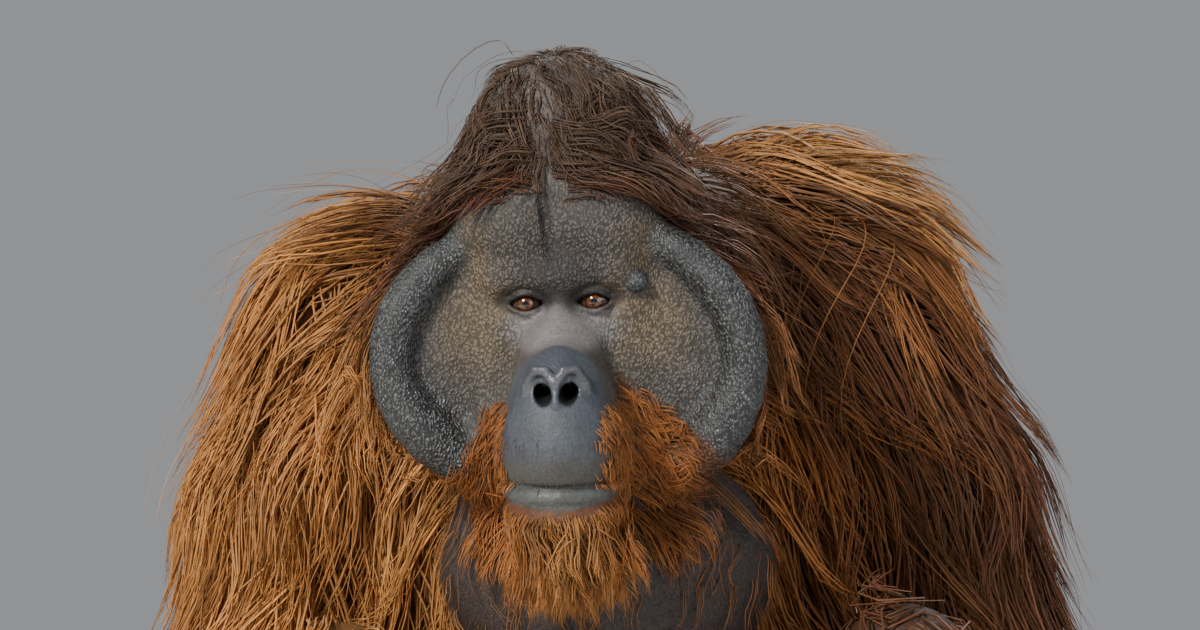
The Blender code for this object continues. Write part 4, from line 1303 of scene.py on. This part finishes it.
# The layers of each piece of the coat, in the order in which they draw random numbers
COATS = {
    "coat_arm_left": arm_layers("_left"),
    "coat_arm_right": arm_layers("_right"),
    "coat_back": [
        Layer("torso", "back", 420, 10, 0.22, 0.0030, (0.010, 0.058), 0.038, 0.76, 0.007, 0.80, 6),
    ],
    "coat_shoulders": [
        Layer("torso", "mantle", 340, 11, 0.17, 0.0024, (0.010, 0.060), 0.030, 0.75, 0.007, 0.70, 6),
        Layer("neck", "all", 160, 10, 0.12, 0.0020, (0.008, 0.040), 0.022, 0.65, 0.005, 0.80, 6),
    ],
    "coat_front": [
        Layer("torso", "front", 220, 10, 0.13, 0.0025, (0.006, 0.034), 0.030, 0.65, 0.005, 0.60, 6),
        Layer("torso", "flank", 100, 9, 0.20, 0.0026, (0.010, 0.060), 0.040, 0.50, 0.008, 0.40, 6),
        Layer("throat_pouch", "all", 130, 5, 0.050, 0.0010, (0.002, 0.012), 0.020, 0.30, 0.003, 0.60, 5),
    ],
    "coat_legs": [
        Layer("thigh_left", "all", 120, 9, 0.12, 0.0025, (0.006, 0.034), 0.026, 0.65, 0.005, 0.70, 5),
        Layer("thigh_right", "all", 120, 9, 0.12, 0.0025, (0.006, 0.034), 0.026, 0.65, 0.005, 0.70, 5),
        Layer("shin_left", "all", 100, 9, 0.11, 0.0024, (0.005, 0.030), 0.022, 0.65, 0.004, 0.70, 5),
        Layer("shin_right", "all", 100, 9, 0.11, 0.0024, (0.005, 0.030), 0.022, 0.65, 0.004, 0.70, 5),
    ],
    "coat_head": [
        Layer("head", "scalp", 260, 10, 0.12, 0.0016, (0.006, 0.044), 0.020, 0.70, 0.005, 0.80, 6),
        Layer("head", "hairline", 140, 10, 0.058, 0.0013, (0.003, 0.020), 0.013, 0.45, 0.003, 0.90, 6),
        Layer("head", "crown", 140, 8, 0.040, 0.0012, (0.002, 0.010), 0.013, 0.35, 0.003, 0.90, 5),
        Layer("head", "temple", 70, 9, 0.09, 0.0016, (0.004, 0.024), 0.015, 0.60, 0.004, 0.90, 6),
    ],
    "coat_face": [
        Layer("head", "beard", 220, 10, 0.070, 0.0013, (0.004, 0.026), 0.013, 0.60, 0.004, 0.35, 6),
        Layer("head", "whiskers", 270, 9, 0.034, 0.0010, (0.001, 0.006), 0.009, 0.45, 0.002, 0.85, 5),
        Layer("head", "chin", 240, 8, 0.018, 0.0008, (0.001, 0.005), 0.008, 0.30, 0.001, 0.80, 4),
    ],
    "coat_wisps": [
        Layer("torso", "mantle", 100, 3, 0.19, 0.0009, (0.035, 0.072), 0.050, 0.10, 0.012, 0.60, 12),
        Layer("upper_arm_left", "all", 90, 3, 0.22, 0.0009, (0.030, 0.066), 0.050, 0.10, 0.012, 0.60, 12),
        Layer("upper_arm_right", "all", 90, 3, 0.22, 0.0009, (0.030, 0.066), 0.050, 0.10, 0.012, 0.60, 12),
        Layer("head", "scalp", 80, 3, 0.12, 0.0008, (0.016, 0.050), 0.040, 0.10, 0.008, 0.70, 12),
    ],
}
# How deep hair is rooted in the skin: at most this far, in metres, and this share of its length
ROOT_DEPTH = 0.005
ROOT_SHARE = 0.05
# From this length, in metres, hair counts as long and leaves the skin more slowly
LONG_HAIR = 0.10
# How far hair may stand out of the solids' box, in metres
STRAY = 0.026
# The lowest that a guide lock and a strand may lie over the floor, in metres
GUIDE_FLOOR = 0.006
STRAND_FLOOR = 0.004
# The steps of a guide lock's path, and the points of the skin that roots are chosen from
COMB_STEPS = 14
SAMPLES = 160000
# The size of a strand's patch on its map, as a share of the map
PATCH = 0.003
# The corners of one bristle: two rings of three and a point
BRISTLE_CORNERS = 7
BRISTLE_RADIUS = 0.00034


def slope_of(points):
    """The direction straight out of the skin."""
    reach = 0.002
    sides = []
    for axis in range(3):
        shift = np.zeros(3)
        shift[axis] = reach
        sides.append(skin_field(points + shift) - skin_field(points - shift))
    return unit(np.stack(sides, axis=-1))


def hair_flow(part, where, points):
    """Which way the hair lies at the points."""
    side = "left" if part.endswith("left") else "right"
    sign = SIDES[side]
    kind = kind_of(part)
    x, y, z = points.T
    level = np.zeros(len(points))
    down = np.stack([level, level, level - 1.0], axis=-1)
    if kind == "upper_arm":
        bone = np.array(ELBOW[side]) - np.array(SHOULDER[side])
        swing = 0.30 * np.sin(24.0 * z + 11.0 * y + 2.0 * sign) + 0.26 * np.sin(49.0 * z - 17.0 * x)
        sway = np.stack([0.16 * sign + swing, 0.25 * np.sin(23.0 * z + 14.0 * x + 3.0), level], axis=-1)
        return unit(bone) + 0.35 * down + sway
    if kind == "forearm":
        bone = np.array(ELBOW[side]) - np.array(WRIST[side])
        return 0.45 * unit(bone) + 0.9 * down
    if kind == "thigh":
        bone = np.array(KNEE[side]) - np.array(HIP[side])
        return 0.6 * unit(bone) + 0.7 * down
    if kind == "neck":
        return down + np.stack([x * 8.0, level + 0.5, level], axis=-1)
    if kind == "torso":
        out = np.stack([x * 6.0, level + 0.3, level], axis=-1)
        high = rise(z, 0.50, 0.64)[:, None]
        sway = np.stack([0.30 * np.sin(19.0 * z + 7.0 * x) + 0.2 * np.sin(41.0 * x), level, level], axis=-1)
        return down + out * (0.15 + 0.85 * high) + sway
    if kind == "head":
        face = to_face(points)
        fx, fy, fz = face.T
        if where in ("scalp", "hairline", "crown"):
            part_line = fx + 6.0
            beside = np.sign(part_line) * 34.0 + part_line * 1.1
            out = np.stack([beside, (fy - 46.0) * 0.8, -26.0 - 0.9 * np.abs(fx)], axis=-1)
            if where == "hairline":
                fall = -6.0 - 0.75 * np.maximum(np.abs(part_line) - 14.0, 0.0)
                out = np.stack([np.sign(part_line) * 40.0 + part_line * 0.8, level - 5.0, fall], axis=-1)
            if where == "crown":
                out = np.stack([part_line * 0.6 + 8.0, fy - 60.0, level - 20.0], axis=-1)
        elif where == "temple":
            out = np.stack([fx * 0.8, level + 14.0, level - 40.0], axis=-1)
        elif where == "beard":
            out = np.stack([fx * 0.50 + 4.0, level - 10.0, level - 60.0], axis=-1)
        elif where == "chin":
            out = np.stack([fx * 0.6, level, level - 60.0], axis=-1)
        else:
            beside = np.where(fx > 0.0, 1.1 * fx - 0.4 * (-fz - 60.0), 0.30 * fx)
            out = np.stack([beside, level + 14.0, level - 50.0], axis=-1)
        return from_face(unit(out))
    return down


def grows_hair(where, points, normals):
    """Where on a part a layer is rooted."""
    x, y, z = points.T
    face = to_face(points)
    fx, fy, fz = face.T
    bald = (np.hypot((fx + 8.0) / 40.0, (fz - 172.0) / 38.0) < 1.0) & (fy < 92.0)
    if where == "back":
        return (normals[:, 1] > -0.30) & (z > 0.05) & (z < 0.66)
    if where == "mantle":
        return (z > 0.56) & (normals[:, 2] > -0.3)
    if where == "front":
        return (normals[:, 1] < -0.2) & (z > 0.05) & ((np.abs(x) > 0.07) | (z < 0.34))
    if where == "scalp":
        behind = (fy > 34.0) & (fz > -20.0)
        above = (fz > 90.0) | ((np.abs(fx) > 62.0) & (fz > 60.0))
        return (behind | above) & ~bald
    if where == "hairline":
        return (fz > 86.0 - 0.05 * np.abs(fx)) & (fz < 136.0) & (fy < 60.0)
    if where == "crown":
        return (fz > 112.0) & (fy < 112.0)
    if where == "flank":
        return (np.abs(x) > 0.10) & (z > 0.22) & (z < 0.52) & (y < 0.10)
    if where == "temple":
        return (np.abs(fx) > 62.0) & (fy > 34.0) & (fz < 40.0) & (fz > -120.0)
    if where == "beard":
        below = (fz < -149.0) & (fy < 30.0)
        return below & (fz > -196.0)
    if where == "whiskers":
        edge = np.where(fx > 0.0, 9.0 + 0.04 * (-fz), 3.0)
        beside = (muzzle_edge(face) < -3.0 - 3.0 * (fx < 0.0)) & (cheek_line(face) > edge)
        return beside & (fx < 88.0) & (np.abs(fx) > 22.0) & (fz > -160.0) & (fz < -42.0) & (fy < 36.0)
    if where == "chin":
        upper = (muzzle_edge(face) < 8.0) & (muzzle_edge(face) > -5.0) & (fz < -70.0) & (fz > -128.0)
        return (upper | ((fz < -149.0) & (fz > -172.0))) & (fy < 0.0)
    return z > 0.045


def surface_samples(mesh, random):
    """Points spread at random over the mesh, with their normals."""
    mesh.calc_loop_triangles()
    corners = np.empty(3 * len(mesh.loop_triangles), np.int32)
    mesh.loop_triangles.foreach_get("vertices", corners)
    corners = points_of(mesh)[corners.reshape(-1, 3)]
    cross = np.cross(corners[:, 1] - corners[:, 0], corners[:, 2] - corners[:, 0])
    area = np.linalg.norm(cross, axis=1)
    picks = random.choice(len(area), SAMPLES, p=area / area.sum())
    shares = np.sort(random.random((SAMPLES, 2)), axis=1)
    weights = np.stack([shares[:, 0], shares[:, 1] - shares[:, 0], 1.0 - shares[:, 1]], axis=1)
    return np.einsum("nk,nkd->nd", weights, corners[picks]), unit(cross[picks])


def nearest_parts(points):
    """The number of the part that each point of the skin lies on."""
    distances = []
    for name, field in FIELDS.items():
        distances.append(field(points) + COAT_DEPTH.get(kind_of(name), 0.0))
    return np.argmin(distances, axis=0)


def spread_roots(points, wanted):
    """The numbers of points spread evenly over the ones given."""
    chosen = [0]
    away = np.linalg.norm(points - points[0], axis=1)
    while len(chosen) < min(wanted, len(points)):
        chosen.append(int(away.argmax()))
        away = np.minimum(away, np.linalg.norm(points - points[chosen[-1]], axis=1))
    return np.array(chosen)


def comb(roots, layer, random):
    """The paths of guide locks: out of the skin, over the body along the hair's lie, and down."""
    count = len(roots)
    lengths = layer.length * random.uniform(0.75, 1.15, (count, 1))
    lifts = random.uniform(*layer.lift, count)
    curl = random.normal(0.0, 0.50, (count, 1))
    turns = random.uniform(2.5, 7.0, (count, 1))
    out = slope_of(roots)
    heading = hair_flow(layer.part, layer.where, roots)
    heading = unit(heading - out * (heading * out).sum(-1, keepdims=True))
    depth = min(ROOT_DEPTH, ROOT_SHARE * layer.length)
    point = roots - out * depth
    slowness = 0.7 if layer.length > LONG_HAIR else 0.5
    path, outs = [point], [out]
    for step in range(1, COMB_STEPS + 1):
        share = step / COMB_STEPS
        across = np.cross(out, heading)
        want = hair_flow(layer.part, layer.where, point) + across * curl * np.sin(turns * share)
        if share <= layer.free:
            want = want - out * (want * out).sum(-1, keepdims=True)
        heading = unit(0.55 * heading + 0.45 * unit(want + np.array((0.0, 0.0, -0.6 * share))))
        point = point + heading * lengths / COMB_STEPS
        height = -depth + (lifts + depth) * share**slowness
        out = slope_of(point)
        push = height - skin_field(point)
        if share > layer.free:
            push = np.maximum(push, 0.0)
        point = point + out * (push * 0.8)[:, None]
        point[:, 2] = np.maximum(point[:, 2], GUIDE_FLOOR)
        path.append(point)
        outs.append(out)
    return np.stack(path, axis=1), np.stack(outs, axis=1)


def strand_paths(paths, outs, layer, random):
    """Many strands around each guide lock: apart at the roots, gathered at the tips, and wavy."""
    locks, steps = paths.shape[:2]
    share = np.linspace(0.0, 1.0, steps)[None, :, None]
    roll = random.uniform(3.0, 8.0, (locks, 1, 1)) * share + random.uniform(0.0, 6.3, (locks, 1, 1))
    sideways = unit(np.cross(np.gradient(paths, axis=1), outs))
    paths = paths + sideways * (1.5 * layer.wave * share * np.sin(roll))
    paths = paths.repeat(layer.strands, axis=0)
    outs = outs.repeat(layer.strands, axis=0)
    count, steps = paths.shape[:2]
    share = np.linspace(0.0, 1.0, steps)[None, :, None]
    ahead = unit(np.gradient(paths, axis=1))
    across = unit(np.cross(ahead, outs))
    outs = np.cross(across, ahead)
    gather = 1.0 - layer.gather * share**1.2
    beside = random.normal(0.0, 0.45, (count, 1, 1)) * layer.spread
    above = random.uniform(-0.25, 0.30, (count, 1, 1)) * layer.spread
    swing = 0.6 * layer.wave * random.normal(0.0, 1.0, (2, count, 1, 1)) * share
    beat = random.uniform(4.0, 10.0, (2, count, 1, 1)) * share + random.uniform(0.0, 6.3, (2, count, 1, 1))
    shift = across * (beside * gather + swing[0] * np.sin(beat[0]))
    shift += outs * (above * gather * share**0.5 + 0.6 * swing[1] * np.sin(beat[1]))
    paths = paths + shift
    low, high = np.array(CAD_BOX)
    paths = np.clip(paths, low - STRAY, high + STRAY)
    paths[..., 2] = np.maximum(paths[..., 2], STRAND_FLOOR)
    reach = random.uniform(0.70, 1.0, (count, 1))
    shares = np.linspace(0.0, 1.0, layer.rings + 1)[None, :] * reach * (steps - 1)
    before = np.minimum(shares.astype(int), steps - 2)
    part = (shares - before)[..., None]
    row = np.arange(count)[:, None]
    middles = paths[row, before] * (1.0 - part) + paths[row, before + 1] * part
    outs = outs[row, before] * (1.0 - part) + outs[row, before + 1] * part
    return middles, unit(outs)


def strand_points(middles, outs, layer, random):
    """The corners of each strand: flat three-sided rings that taper to a point."""
    count, rings = len(middles), layer.rings
    ahead = unit(np.gradient(middles, axis=1))
    across = unit(np.cross(ahead, outs) + outs * random.normal(0.0, 0.35, (count, 1, 1)))
    outs = np.cross(across, ahead)
    taper = np.interp(np.arange(rings) / rings, (0.0, 0.25, 0.7, 1.0), (0.8, 1.0, 0.75, 0.25))
    half = 0.5 * layer.width * random.uniform(0.45, 1.35, (count, 1, 1)) * taper[None, :, None]
    middle, across, out = middles[:, :rings], across[:, :rings], outs[:, :rings]
    low = middle - out * half * 0.35
    corners = np.stack([low - across * half, low + across * half, middle + out * half * 0.55], axis=2)
    return np.concatenate([corners.reshape(count, rings * 3, 3), middles[:, -1:]], axis=1)


def strand_faces(count, rings):
    """The triangles of that many strands."""
    faces = [(0, 2, 1)]
    for ring in range(0, 3 * (rings - 1), 3):
        for side in range(3):
            a, b = ring + side, ring + (side + 1) % 3
            faces.extend([(a, b, b + 3), (a, b + 3, a + 3)])
    last = 3 * (rings - 1)
    faces.extend([(last, last + 1, last + 3), (last + 1, last + 2, last + 3), (last + 2, last, last + 3)])
    faces = np.array(faces)
    return (faces[None] + (3 * rings + 1) * np.arange(count)[:, None, None]).reshape(-1, 3)


def strand_tones(middles, locks, layer, random):
    """Colours along the strands: dark at the root, partly painted shade inside the coat, lighter and more
    golden at the tip.
    """
    colours = bpy.context.scene.orangutan_coat
    count, rings = len(middles), layer.rings
    roots = middles[:, 0]
    tone = hair_tone(roots)
    golden = np.array(colours.golden)
    if layer.where in ("beard", "whiskers", "chin"):
        tone = face_hair_tone(roots)
    glow = (tone.max(axis=1) / golden.max())[:, None]
    fleck = random.uniform(0.0, 1.0, (count, 1)) ** 2.5 * 0.8
    tone = tone + (golden * glow**0.9 - tone) * fleck * 0.7
    of_lock = random.uniform(0.70, 1.25, (locks.max() + 1, 1))[locks]
    tone = tone * of_lock * random.uniform(0.85, 1.15, (count, 1))
    # Darker towards the root: partly painted shade inside the coat.
    share = np.append(np.arange(rings).repeat(3) / rings, 1.0)[None, :, None]
    return tone[:, None, :] * (0.50 + 0.62 * share**0.7)


def face_hair_tone(points):
    """Orange at the muzzle's sides, and yellow-brown to orange in the beard, darker on the face's left as
    painted shade.
    """
    colours = bpy.context.scene.orangutan_coat
    x, y = to_face(points).T[:2]
    orange = np.array(colours.orange) * 0.9
    golden = np.array(colours.golden) * 0.75
    tone = orange + (golden - orange) * (0.55 * rise(np.abs(x), 46.0, 10.0))[:, None]
    # Painted shade on the face's left side.
    shaded = 0.55 * rise(x, 40.0, 84.0) * rise(y, -20.0, 20.0)
    return tone + (np.array(colours.dark) * 1.4 - tone) * shaded[:, None]


def unwrap_axis(name):
    """The line that a part's unwrap turns round."""
    side = name.rsplit("_", 1)[-1]
    x, y, z = EYES_AT
    lines = {
        "torso": ((0.0, 0.02, 0.0), (0.0, 0.02, 0.74)),
        "neck": ((-0.005, 0.0, 0.605), (-0.035, -0.20, 0.640)),
        "throat_pouch": ((-0.01, -0.19, 0.30), (-0.02, -0.20, 0.58)),
        "head": ((x, y + 0.06, z - 0.20), (x, y + 0.06, z + 0.21)),
        "upper_arm": (SHOULDER.get(side), ELBOW.get(side)),
        "forearm": (ELBOW.get(side), WRIST.get(side)),
        "hand": (WRIST.get(side), along(WRIST.get(side, (0, 0, 0)), (0, 0, 0), 0.0, (0, -0.22, -0.06))),
        "thigh": (HIP.get(side), KNEE.get(side)),
        "shin": (KNEE.get(side), ANKLE.get(side)),
        "foot": (ANKLE.get(side), along(ANKLE.get(side, (0, 0, 0)), (0, 0, 0), 0.0, (0, -0.24, -0.05))),
    }
    start, end = lines[kind_of(name)]
    return np.array(start, float), np.array(end, float)


def unwrapped(points, parts):
    """Each root's place on an unwrap of the skin: every part is rolled out into a cell of its own."""
    places = np.zeros((len(points), 2))
    for number, name in enumerate(FIELDS):
        here = parts == number
        start, end = unwrap_axis(name)
        axis = unit(end - start)
        first = unit(np.cross(axis, (0.31, 0.9, 0.27)))
        second = np.cross(axis, first)
        local = points[here] - start
        turn = np.arctan2(local @ second, local @ first) / (2.0 * math.pi) + 0.5
        share = np.clip((local @ axis) / np.linalg.norm(end - start), -0.15, 1.15)
        cell = np.array((number % 4, number // 4))
        inner = np.stack([0.04 + 0.92 * turn, 0.04 + 0.92 * (share + 0.15) / 1.3], axis=1)
        places[here] = (cell + inner) / 4.0
    return places


def fibre_group():
    """Fine hairs within a strand, from the strand's own map: streaks along it."""
    inputs = {"Across": 2000.0, "Along": 500.0}
    tree, given, result = group_tree("hair fibres", inputs, {"Height": "NodeSocketFloat"})
    place = add_node(tree, "ShaderNodeUVMap", uv_map="OFBake").outputs[0]
    sizes = {0: given.outputs["Across"], 1: given.outputs["Along"], 2: 1.0}
    scale = add_node(tree, "ShaderNodeCombineXYZ", sizes).outputs[0]
    place = vectors(tree, "MULTIPLY", place, scale)
    streaks = add_node(tree, "ShaderNodeTexNoise", {"Vector": place, "Scale": 1.0, "Detail": 1.0})
    tree.links.new(streaks.outputs["Fac"], result.inputs["Height"])


def coat_material():
    """Hair: the strand's painted colour, with the coat's painted light and shade, fine streaks along it, and
    a soft gloss.
    """
    material, tree, shader = new_material("orangutan_hair")
    tone = add_node(tree, "ShaderNodeAttribute", attribute_name="tone").outputs["Color"]
    fibres = place_group(tree, "hair fibres", {"Across": 2200.0, "Along": 450.0})
    patches = place_group(tree, "mottling", {"Patch": 14.0, "Strength": 0.22})
    streaks = spread_over(tree, fibres.outputs["Height"], 0.25, 0.75, 0.62, 1.28)
    shade = maths(tree, "MULTIPLY", streaks, patches.outputs["Factor"])
    set_tone(tree, shader, tone, shade)
    set_bump(tree, shader, maths(tree, "MULTIPLY", fibres.outputs["Height"], 0.00022), 0.8)
    shader.inputs["Roughness"].default_value = 0.52
    shader.inputs["Specular IOR Level"].default_value = 0.34
    shader.inputs["Sheen Weight"].default_value = 0.15
    shader.inputs["Sheen Roughness"].default_value = 0.45
    shader.inputs["Sheen Tint"].default_value = (1.0, 0.72, 0.45, 1.0)
    return material


def hair_in_face(middles):
    """Which strands of the scalp would hang in front of the face."""
    face = to_face(middles)
    x, y, z = face[..., 0], face[..., 1], face[..., 2]
    ahead = (y < 16.0) & (np.abs(x) < 122.0) & (z < 58.0)
    ahead |= (np.abs(x + 3.0) < 54.0) & (z < 74.0) & (y < 20.0)
    return ahead.any(axis=1)


def give_map(mesh, corners):
    """The mesh's OFBake map, from a place for each corner of its faces."""
    mesh.uv_layers.new(name="OFBake").uv.foreach_set("vector", corners.astype(np.float32).ravel())


def make_coat(name, samples, normals, parts, material, random):
    """One piece of the coat: all strands of its layers, their colours and their map."""
    points, faces, tones, mapping = [], [], [], []
    first = 0
    numbers = {part: i for i, part in enumerate(FIELDS)}
    for layer in COATS[name]:
        here = (parts == numbers[layer.part]) & grows_hair(layer.where, samples, normals)
        ground = samples[here]
        roots = ground[spread_roots(ground, layer.guides)]
        paths, outs = comb(roots, layer, random)
        middles, outs = strand_paths(paths, outs, layer, random)
        locks = np.arange(len(roots)).repeat(layer.strands)
        if layer.where in ("scalp", "temple", "hairline", "crown"):
            keep = ~hair_in_face(middles)
            middles, outs, locks = middles[keep], outs[keep], locks[keep]
        corners = strand_points(middles, outs, layer, random)
        count = len(middles)
        triangles = strand_faces(count, layer.rings)
        points.append(corners.reshape(-1, 3))
        faces.append(triangles + first)
        tones.append(strand_tones(middles, locks, layer, random).reshape(-1, 3))
        spots = unwrapped(middles[:, 0], np.full(count, numbers[layer.part]))
        share = np.append(np.arange(layer.rings).repeat(3) / layer.rings, 1.0)
        across = np.append(np.tile((0.0, 1.0, 0.5), layer.rings), 0.5)
        mapping.append((spots, triangles, share, across))
        first += corners.shape[0] * corners.shape[1]
    mesh = mesh_of(name, np.concatenate(points), np.concatenate(faces))
    paint(mesh, "tone", np.concatenate(tones))
    uvs = []
    for spots, triangles, share, across in mapping:
        patch = spots[:, None, :] + PATCH * (np.stack([across, share], axis=-1)[None] - 0.5)
        uvs.append(patch.reshape(-1, 2)[triangles.ravel()])
    give_map(mesh, np.concatenate(uvs))
    hand_in(add_object(name, mesh), material, "coat")


def make_coats():
    skin = bpy.data.objects["skin"].data
    random = np.random.default_rng(SEED)
    samples, normals = surface_samples(skin, random)
    parts = nearest_parts(samples)
    material = coat_material()
    for name in COATS:
        make_coat(name, samples, normals, parts, material, random)


def bristle_tree(material):
    """Geometry nodes that set short tapered bristles on a surface, along its lie."""
    tree = bpy.data.node_groups.new("bristles", "GeometryNodeTree")
    tree.is_modifier = True
    kinds = {"Geometry": "Geometry", "Density": "Float", "Length": "Float", "Radius": "Float", "Seed": "Int"}
    for label, kind in kinds.items():
        tree.interface.new_socket(name=label, in_out="INPUT", socket_type="NodeSocket" + kind)
    tree.interface.new_socket(name="Geometry", in_out="OUTPUT", socket_type="NodeSocketGeometry")
    given = tree.nodes.new("NodeGroupInput").outputs
    growth = add_node(tree, "GeometryNodeInputNamedAttribute", {"Name": "growth"}, data_type="FLOAT")
    lie = add_node(tree, "GeometryNodeInputNamedAttribute", {"Name": "lie"}, data_type="FLOAT_VECTOR")
    density = maths(tree, "MULTIPLY", growth.outputs[0], given["Density"])
    roots = add_node(
        tree, "GeometryNodeDistributePointsOnFaces",
        {"Mesh": given["Geometry"], "Density": density, "Seed": given["Seed"]}, distribute_method="RANDOM",
    )
    cone = add_node(
        tree, "GeometryNodeMeshCone",
        {"Vertices": 3, "Side Segments": 2, "Radius Top": 0.0, "Radius Bottom": given["Radius"],
         "Depth": given["Length"]},
        fill_type="NGON",
    )
    turn = add_node(tree, "FunctionNodeAlignRotationToVector", {"Vector": lie.outputs[0]}, axis="Z")
    inputs = {2: 0.55, 3: 1.25, "Seed": given["Seed"]}
    size = add_node(tree, "FunctionNodeRandomValue", inputs, data_type="FLOAT")
    reach = add_node(tree, "GeometryNodeInputNamedAttribute", {"Name": "reach"}, data_type="FLOAT")
    size = maths(tree, "MULTIPLY", size.outputs[1], reach.outputs[0])
    hairs = add_node(
        tree, "GeometryNodeInstanceOnPoints",
        {"Points": roots.outputs["Points"], "Instance": cone.outputs["Mesh"],
         "Rotation": turn.outputs[0], "Scale": size},
    )
    real = add_node(tree, "GeometryNodeRealizeInstances", {"Geometry": hairs.outputs[0]})
    last = add_node(tree, "GeometryNodeSetMaterial", {"Geometry": real.outputs[0], "Material": material})
    tree.links.new(last.outputs[0], tree.nodes.new("NodeGroupOutput").inputs[0])
    return tree


def bristle_growth(points, normals):
    """How densely each kind of short bristle grows, its colour and the way that it lies."""
    colours = bpy.context.scene.orangutan_coat
    face = to_face(points)
    x, y, z = face.T
    on_head = rise(FIELDS["head"](points), 0.010, 0.003)
    front = on_head * rise(y, 40.0, 10.0)
    inside = muzzle_edge(face)
    crown = on_head * rise(z, 92.0, 120.0)
    lip = front * rise(inside, -4.0, 2.0) * rise(z, -88.0, -108.0) * rise(z, -131.0, -126.0)
    sides = front * rise(inside, 14.0, -4.0) * rise(z, -62.0, -84.0) * rise(z, -140.0, -126.0)
    edge = on_head * rise(rim_distance(face), 3.0, 0.5) * rise(np.abs(x), 70.0, 84.0) * rise(y, 50.0, 20.0)
    pouch = rise(FIELDS["throat_pouch"](points), 0.012, 0.004) * rise(z, -150.0, -170.0)
    growth = crown * 1.0 + lip * 0.8 + sides * 0.8 + edge * 0.30 + pouch * 0.5
    reach = 1.0 - 0.62 * np.clip(lip + sides, 0.0, 1.0) - 0.45 * edge - 0.25 * pouch
    pale = np.array((0.20, 0.17, 0.12))
    tone = np.tile(np.array(colours.crown) * 1.2, (len(points), 1))
    tone = tone + (pale - tone) * np.clip(lip + sides, 0.0, 1.0)[:, None] * 0.8
    tone = tone + (np.array(colours.orange) * 0.9 - tone) * np.clip(sides - lip, 0.0, 1.0)[:, None] * 0.6
    tone = tone + (np.array((0.18, 0.17, 0.16)) - tone) * np.clip(edge, 0.0, 1.0)[:, None] * 0.6
    fall = from_face(unit(np.stack([x * 0.6, 0.0 * x, 0.0 * x - 60.0], axis=-1)))
    fall = fall - normals * (fall * normals).sum(-1, keepdims=True)
    return growth, reach, tone, unit(unit(fall) + normals * 0.45)


def make_bristles():
    """Short bristles of the crown, lips, throat and cheek pads, set by geometry nodes."""
    skin = bpy.data.objects["skin"].data
    points, normals = points_of(skin), normals_of(skin)
    growth, reach, tone, lie = bristle_growth(points, normals)
    ground = skin.copy()
    thing = add_object("bristles", ground)
    for name, kind, key, values in (
        ("growth", "FLOAT", "value", growth),
        ("reach", "FLOAT", "value", reach),
        ("lie", "FLOAT_VECTOR", "vector", lie),
    ):
        ground.attributes.new(name, kind, "POINT")
        ground.attributes[name].data.foreach_set(key, values.astype(np.float32).ravel())
    paint_again(ground, "tone", tone)
    material = bpy.data.materials["orangutan_hair"]
    tree = bristle_tree(material)
    grow = thing.modifiers.new("bristles", "NODES")
    grow.node_group = tree
    sizes = bpy.context.scene.orangutan_coat
    values = {"Density": sizes.bristle_density, "Length": sizes.bristle_length}
    values.update({"Radius": BRISTLE_RADIUS, "Seed": SEED})
    for socket in tree.interface.items_tree:
        if socket.in_out == "INPUT" and socket.name in values:
            grow[socket.identifier] = values[socket.name]
    baked(thing)
    mesh = thing.data
    mesh.shade_smooth()
    roots = points_of(mesh).reshape(-1, BRISTLE_CORNERS, 3).mean(axis=1)
    spots = unwrapped(roots, nearest_parts(roots))
    corners = np.arange(BRISTLE_CORNERS)
    patch = spots[:, None, :] + PATCH * (np.stack([corners % 3 / 2, corners // 3 / 2], axis=-1)[None] - 0.5)
    loops = np.empty(len(mesh.loops), np.int32)
    mesh.loops.foreach_get("vertex_index", loops)
    for layer in list(mesh.uv_layers):
        mesh.uv_layers.remove(layer)
    give_map(mesh, patch.reshape(-1, 2)[loops])
    hand_in(thing, material, "coat")


class ORANGUTAN_OT_bristles(bpy.types.Operator):
    """Make the short bristles of the crown, the lips and the throat"""

    bl_idname = "orangutan.bristles"
    bl_label = "Bristles"

    def execute(self, context):
        make_bristles()
        return {"FINISHED"}


class ORANGUTAN_OT_coat(bpy.types.Operator):
    """Make the coat of the head and the body"""

    bl_idname = "orangutan.coat"
    bl_label = "Coat"

    def execute(self, context):
        make_coats()
        return {"FINISHED"}


SETTINGS = {
    "orangutan_skin": OrangutanSkin,
    "orangutan_coat": OrangutanCoat,
    "orangutan_eyes": OrangutanEyes,
    "orangutan_stage": OrangutanStage,
}
OPERATORS = (
    ORANGUTAN_OT_stage, ORANGUTAN_OT_skin, ORANGUTAN_OT_eyes, ORANGUTAN_OT_nails, ORANGUTAN_OT_coat,
    ORANGUTAN_OT_bristles,
)


class ORANGUTAN_PT_panel(bpy.types.Panel):
    """Lists the pieces and their settings"""

    bl_idname = "ORANGUTAN_PT_panel"
    bl_label = "Orangutan"
    bl_space_type = "VIEW_3D"
    bl_region_type = "UI"
    bl_category = "Orangutan"

    def draw(self, context):
        for kind in OPERATORS:
            self.layout.operator(kind.bl_idname)
        for name, kind in SETTINGS.items():
            settings = getattr(context.scene, name)
            for label in kind.__annotations__:
                self.layout.prop(settings, label)


def register():
    for kind in (*SETTINGS.values(), *OPERATORS, ORANGUTAN_PT_panel):
        bpy.utils.register_class(kind)
    for name, kind in SETTINGS.items():
        setattr(bpy.types.Scene, name, PointerProperty(type=kind))


def unregister():
    for name in SETTINGS:
        delattr(bpy.types.Scene, name)
    for kind in (ORANGUTAN_PT_panel, *OPERATORS, *SETTINGS.values()):
        bpy.utils.unregister_class(kind)


def main():
    register()
    pebble_group()
    mottle_group()
    fibre_group()
    for kind in OPERATORS:
        getattr(bpy.ops.orangutan, kind.bl_idname.split(".")[1])()


if __name__ == "__main__":
    main()
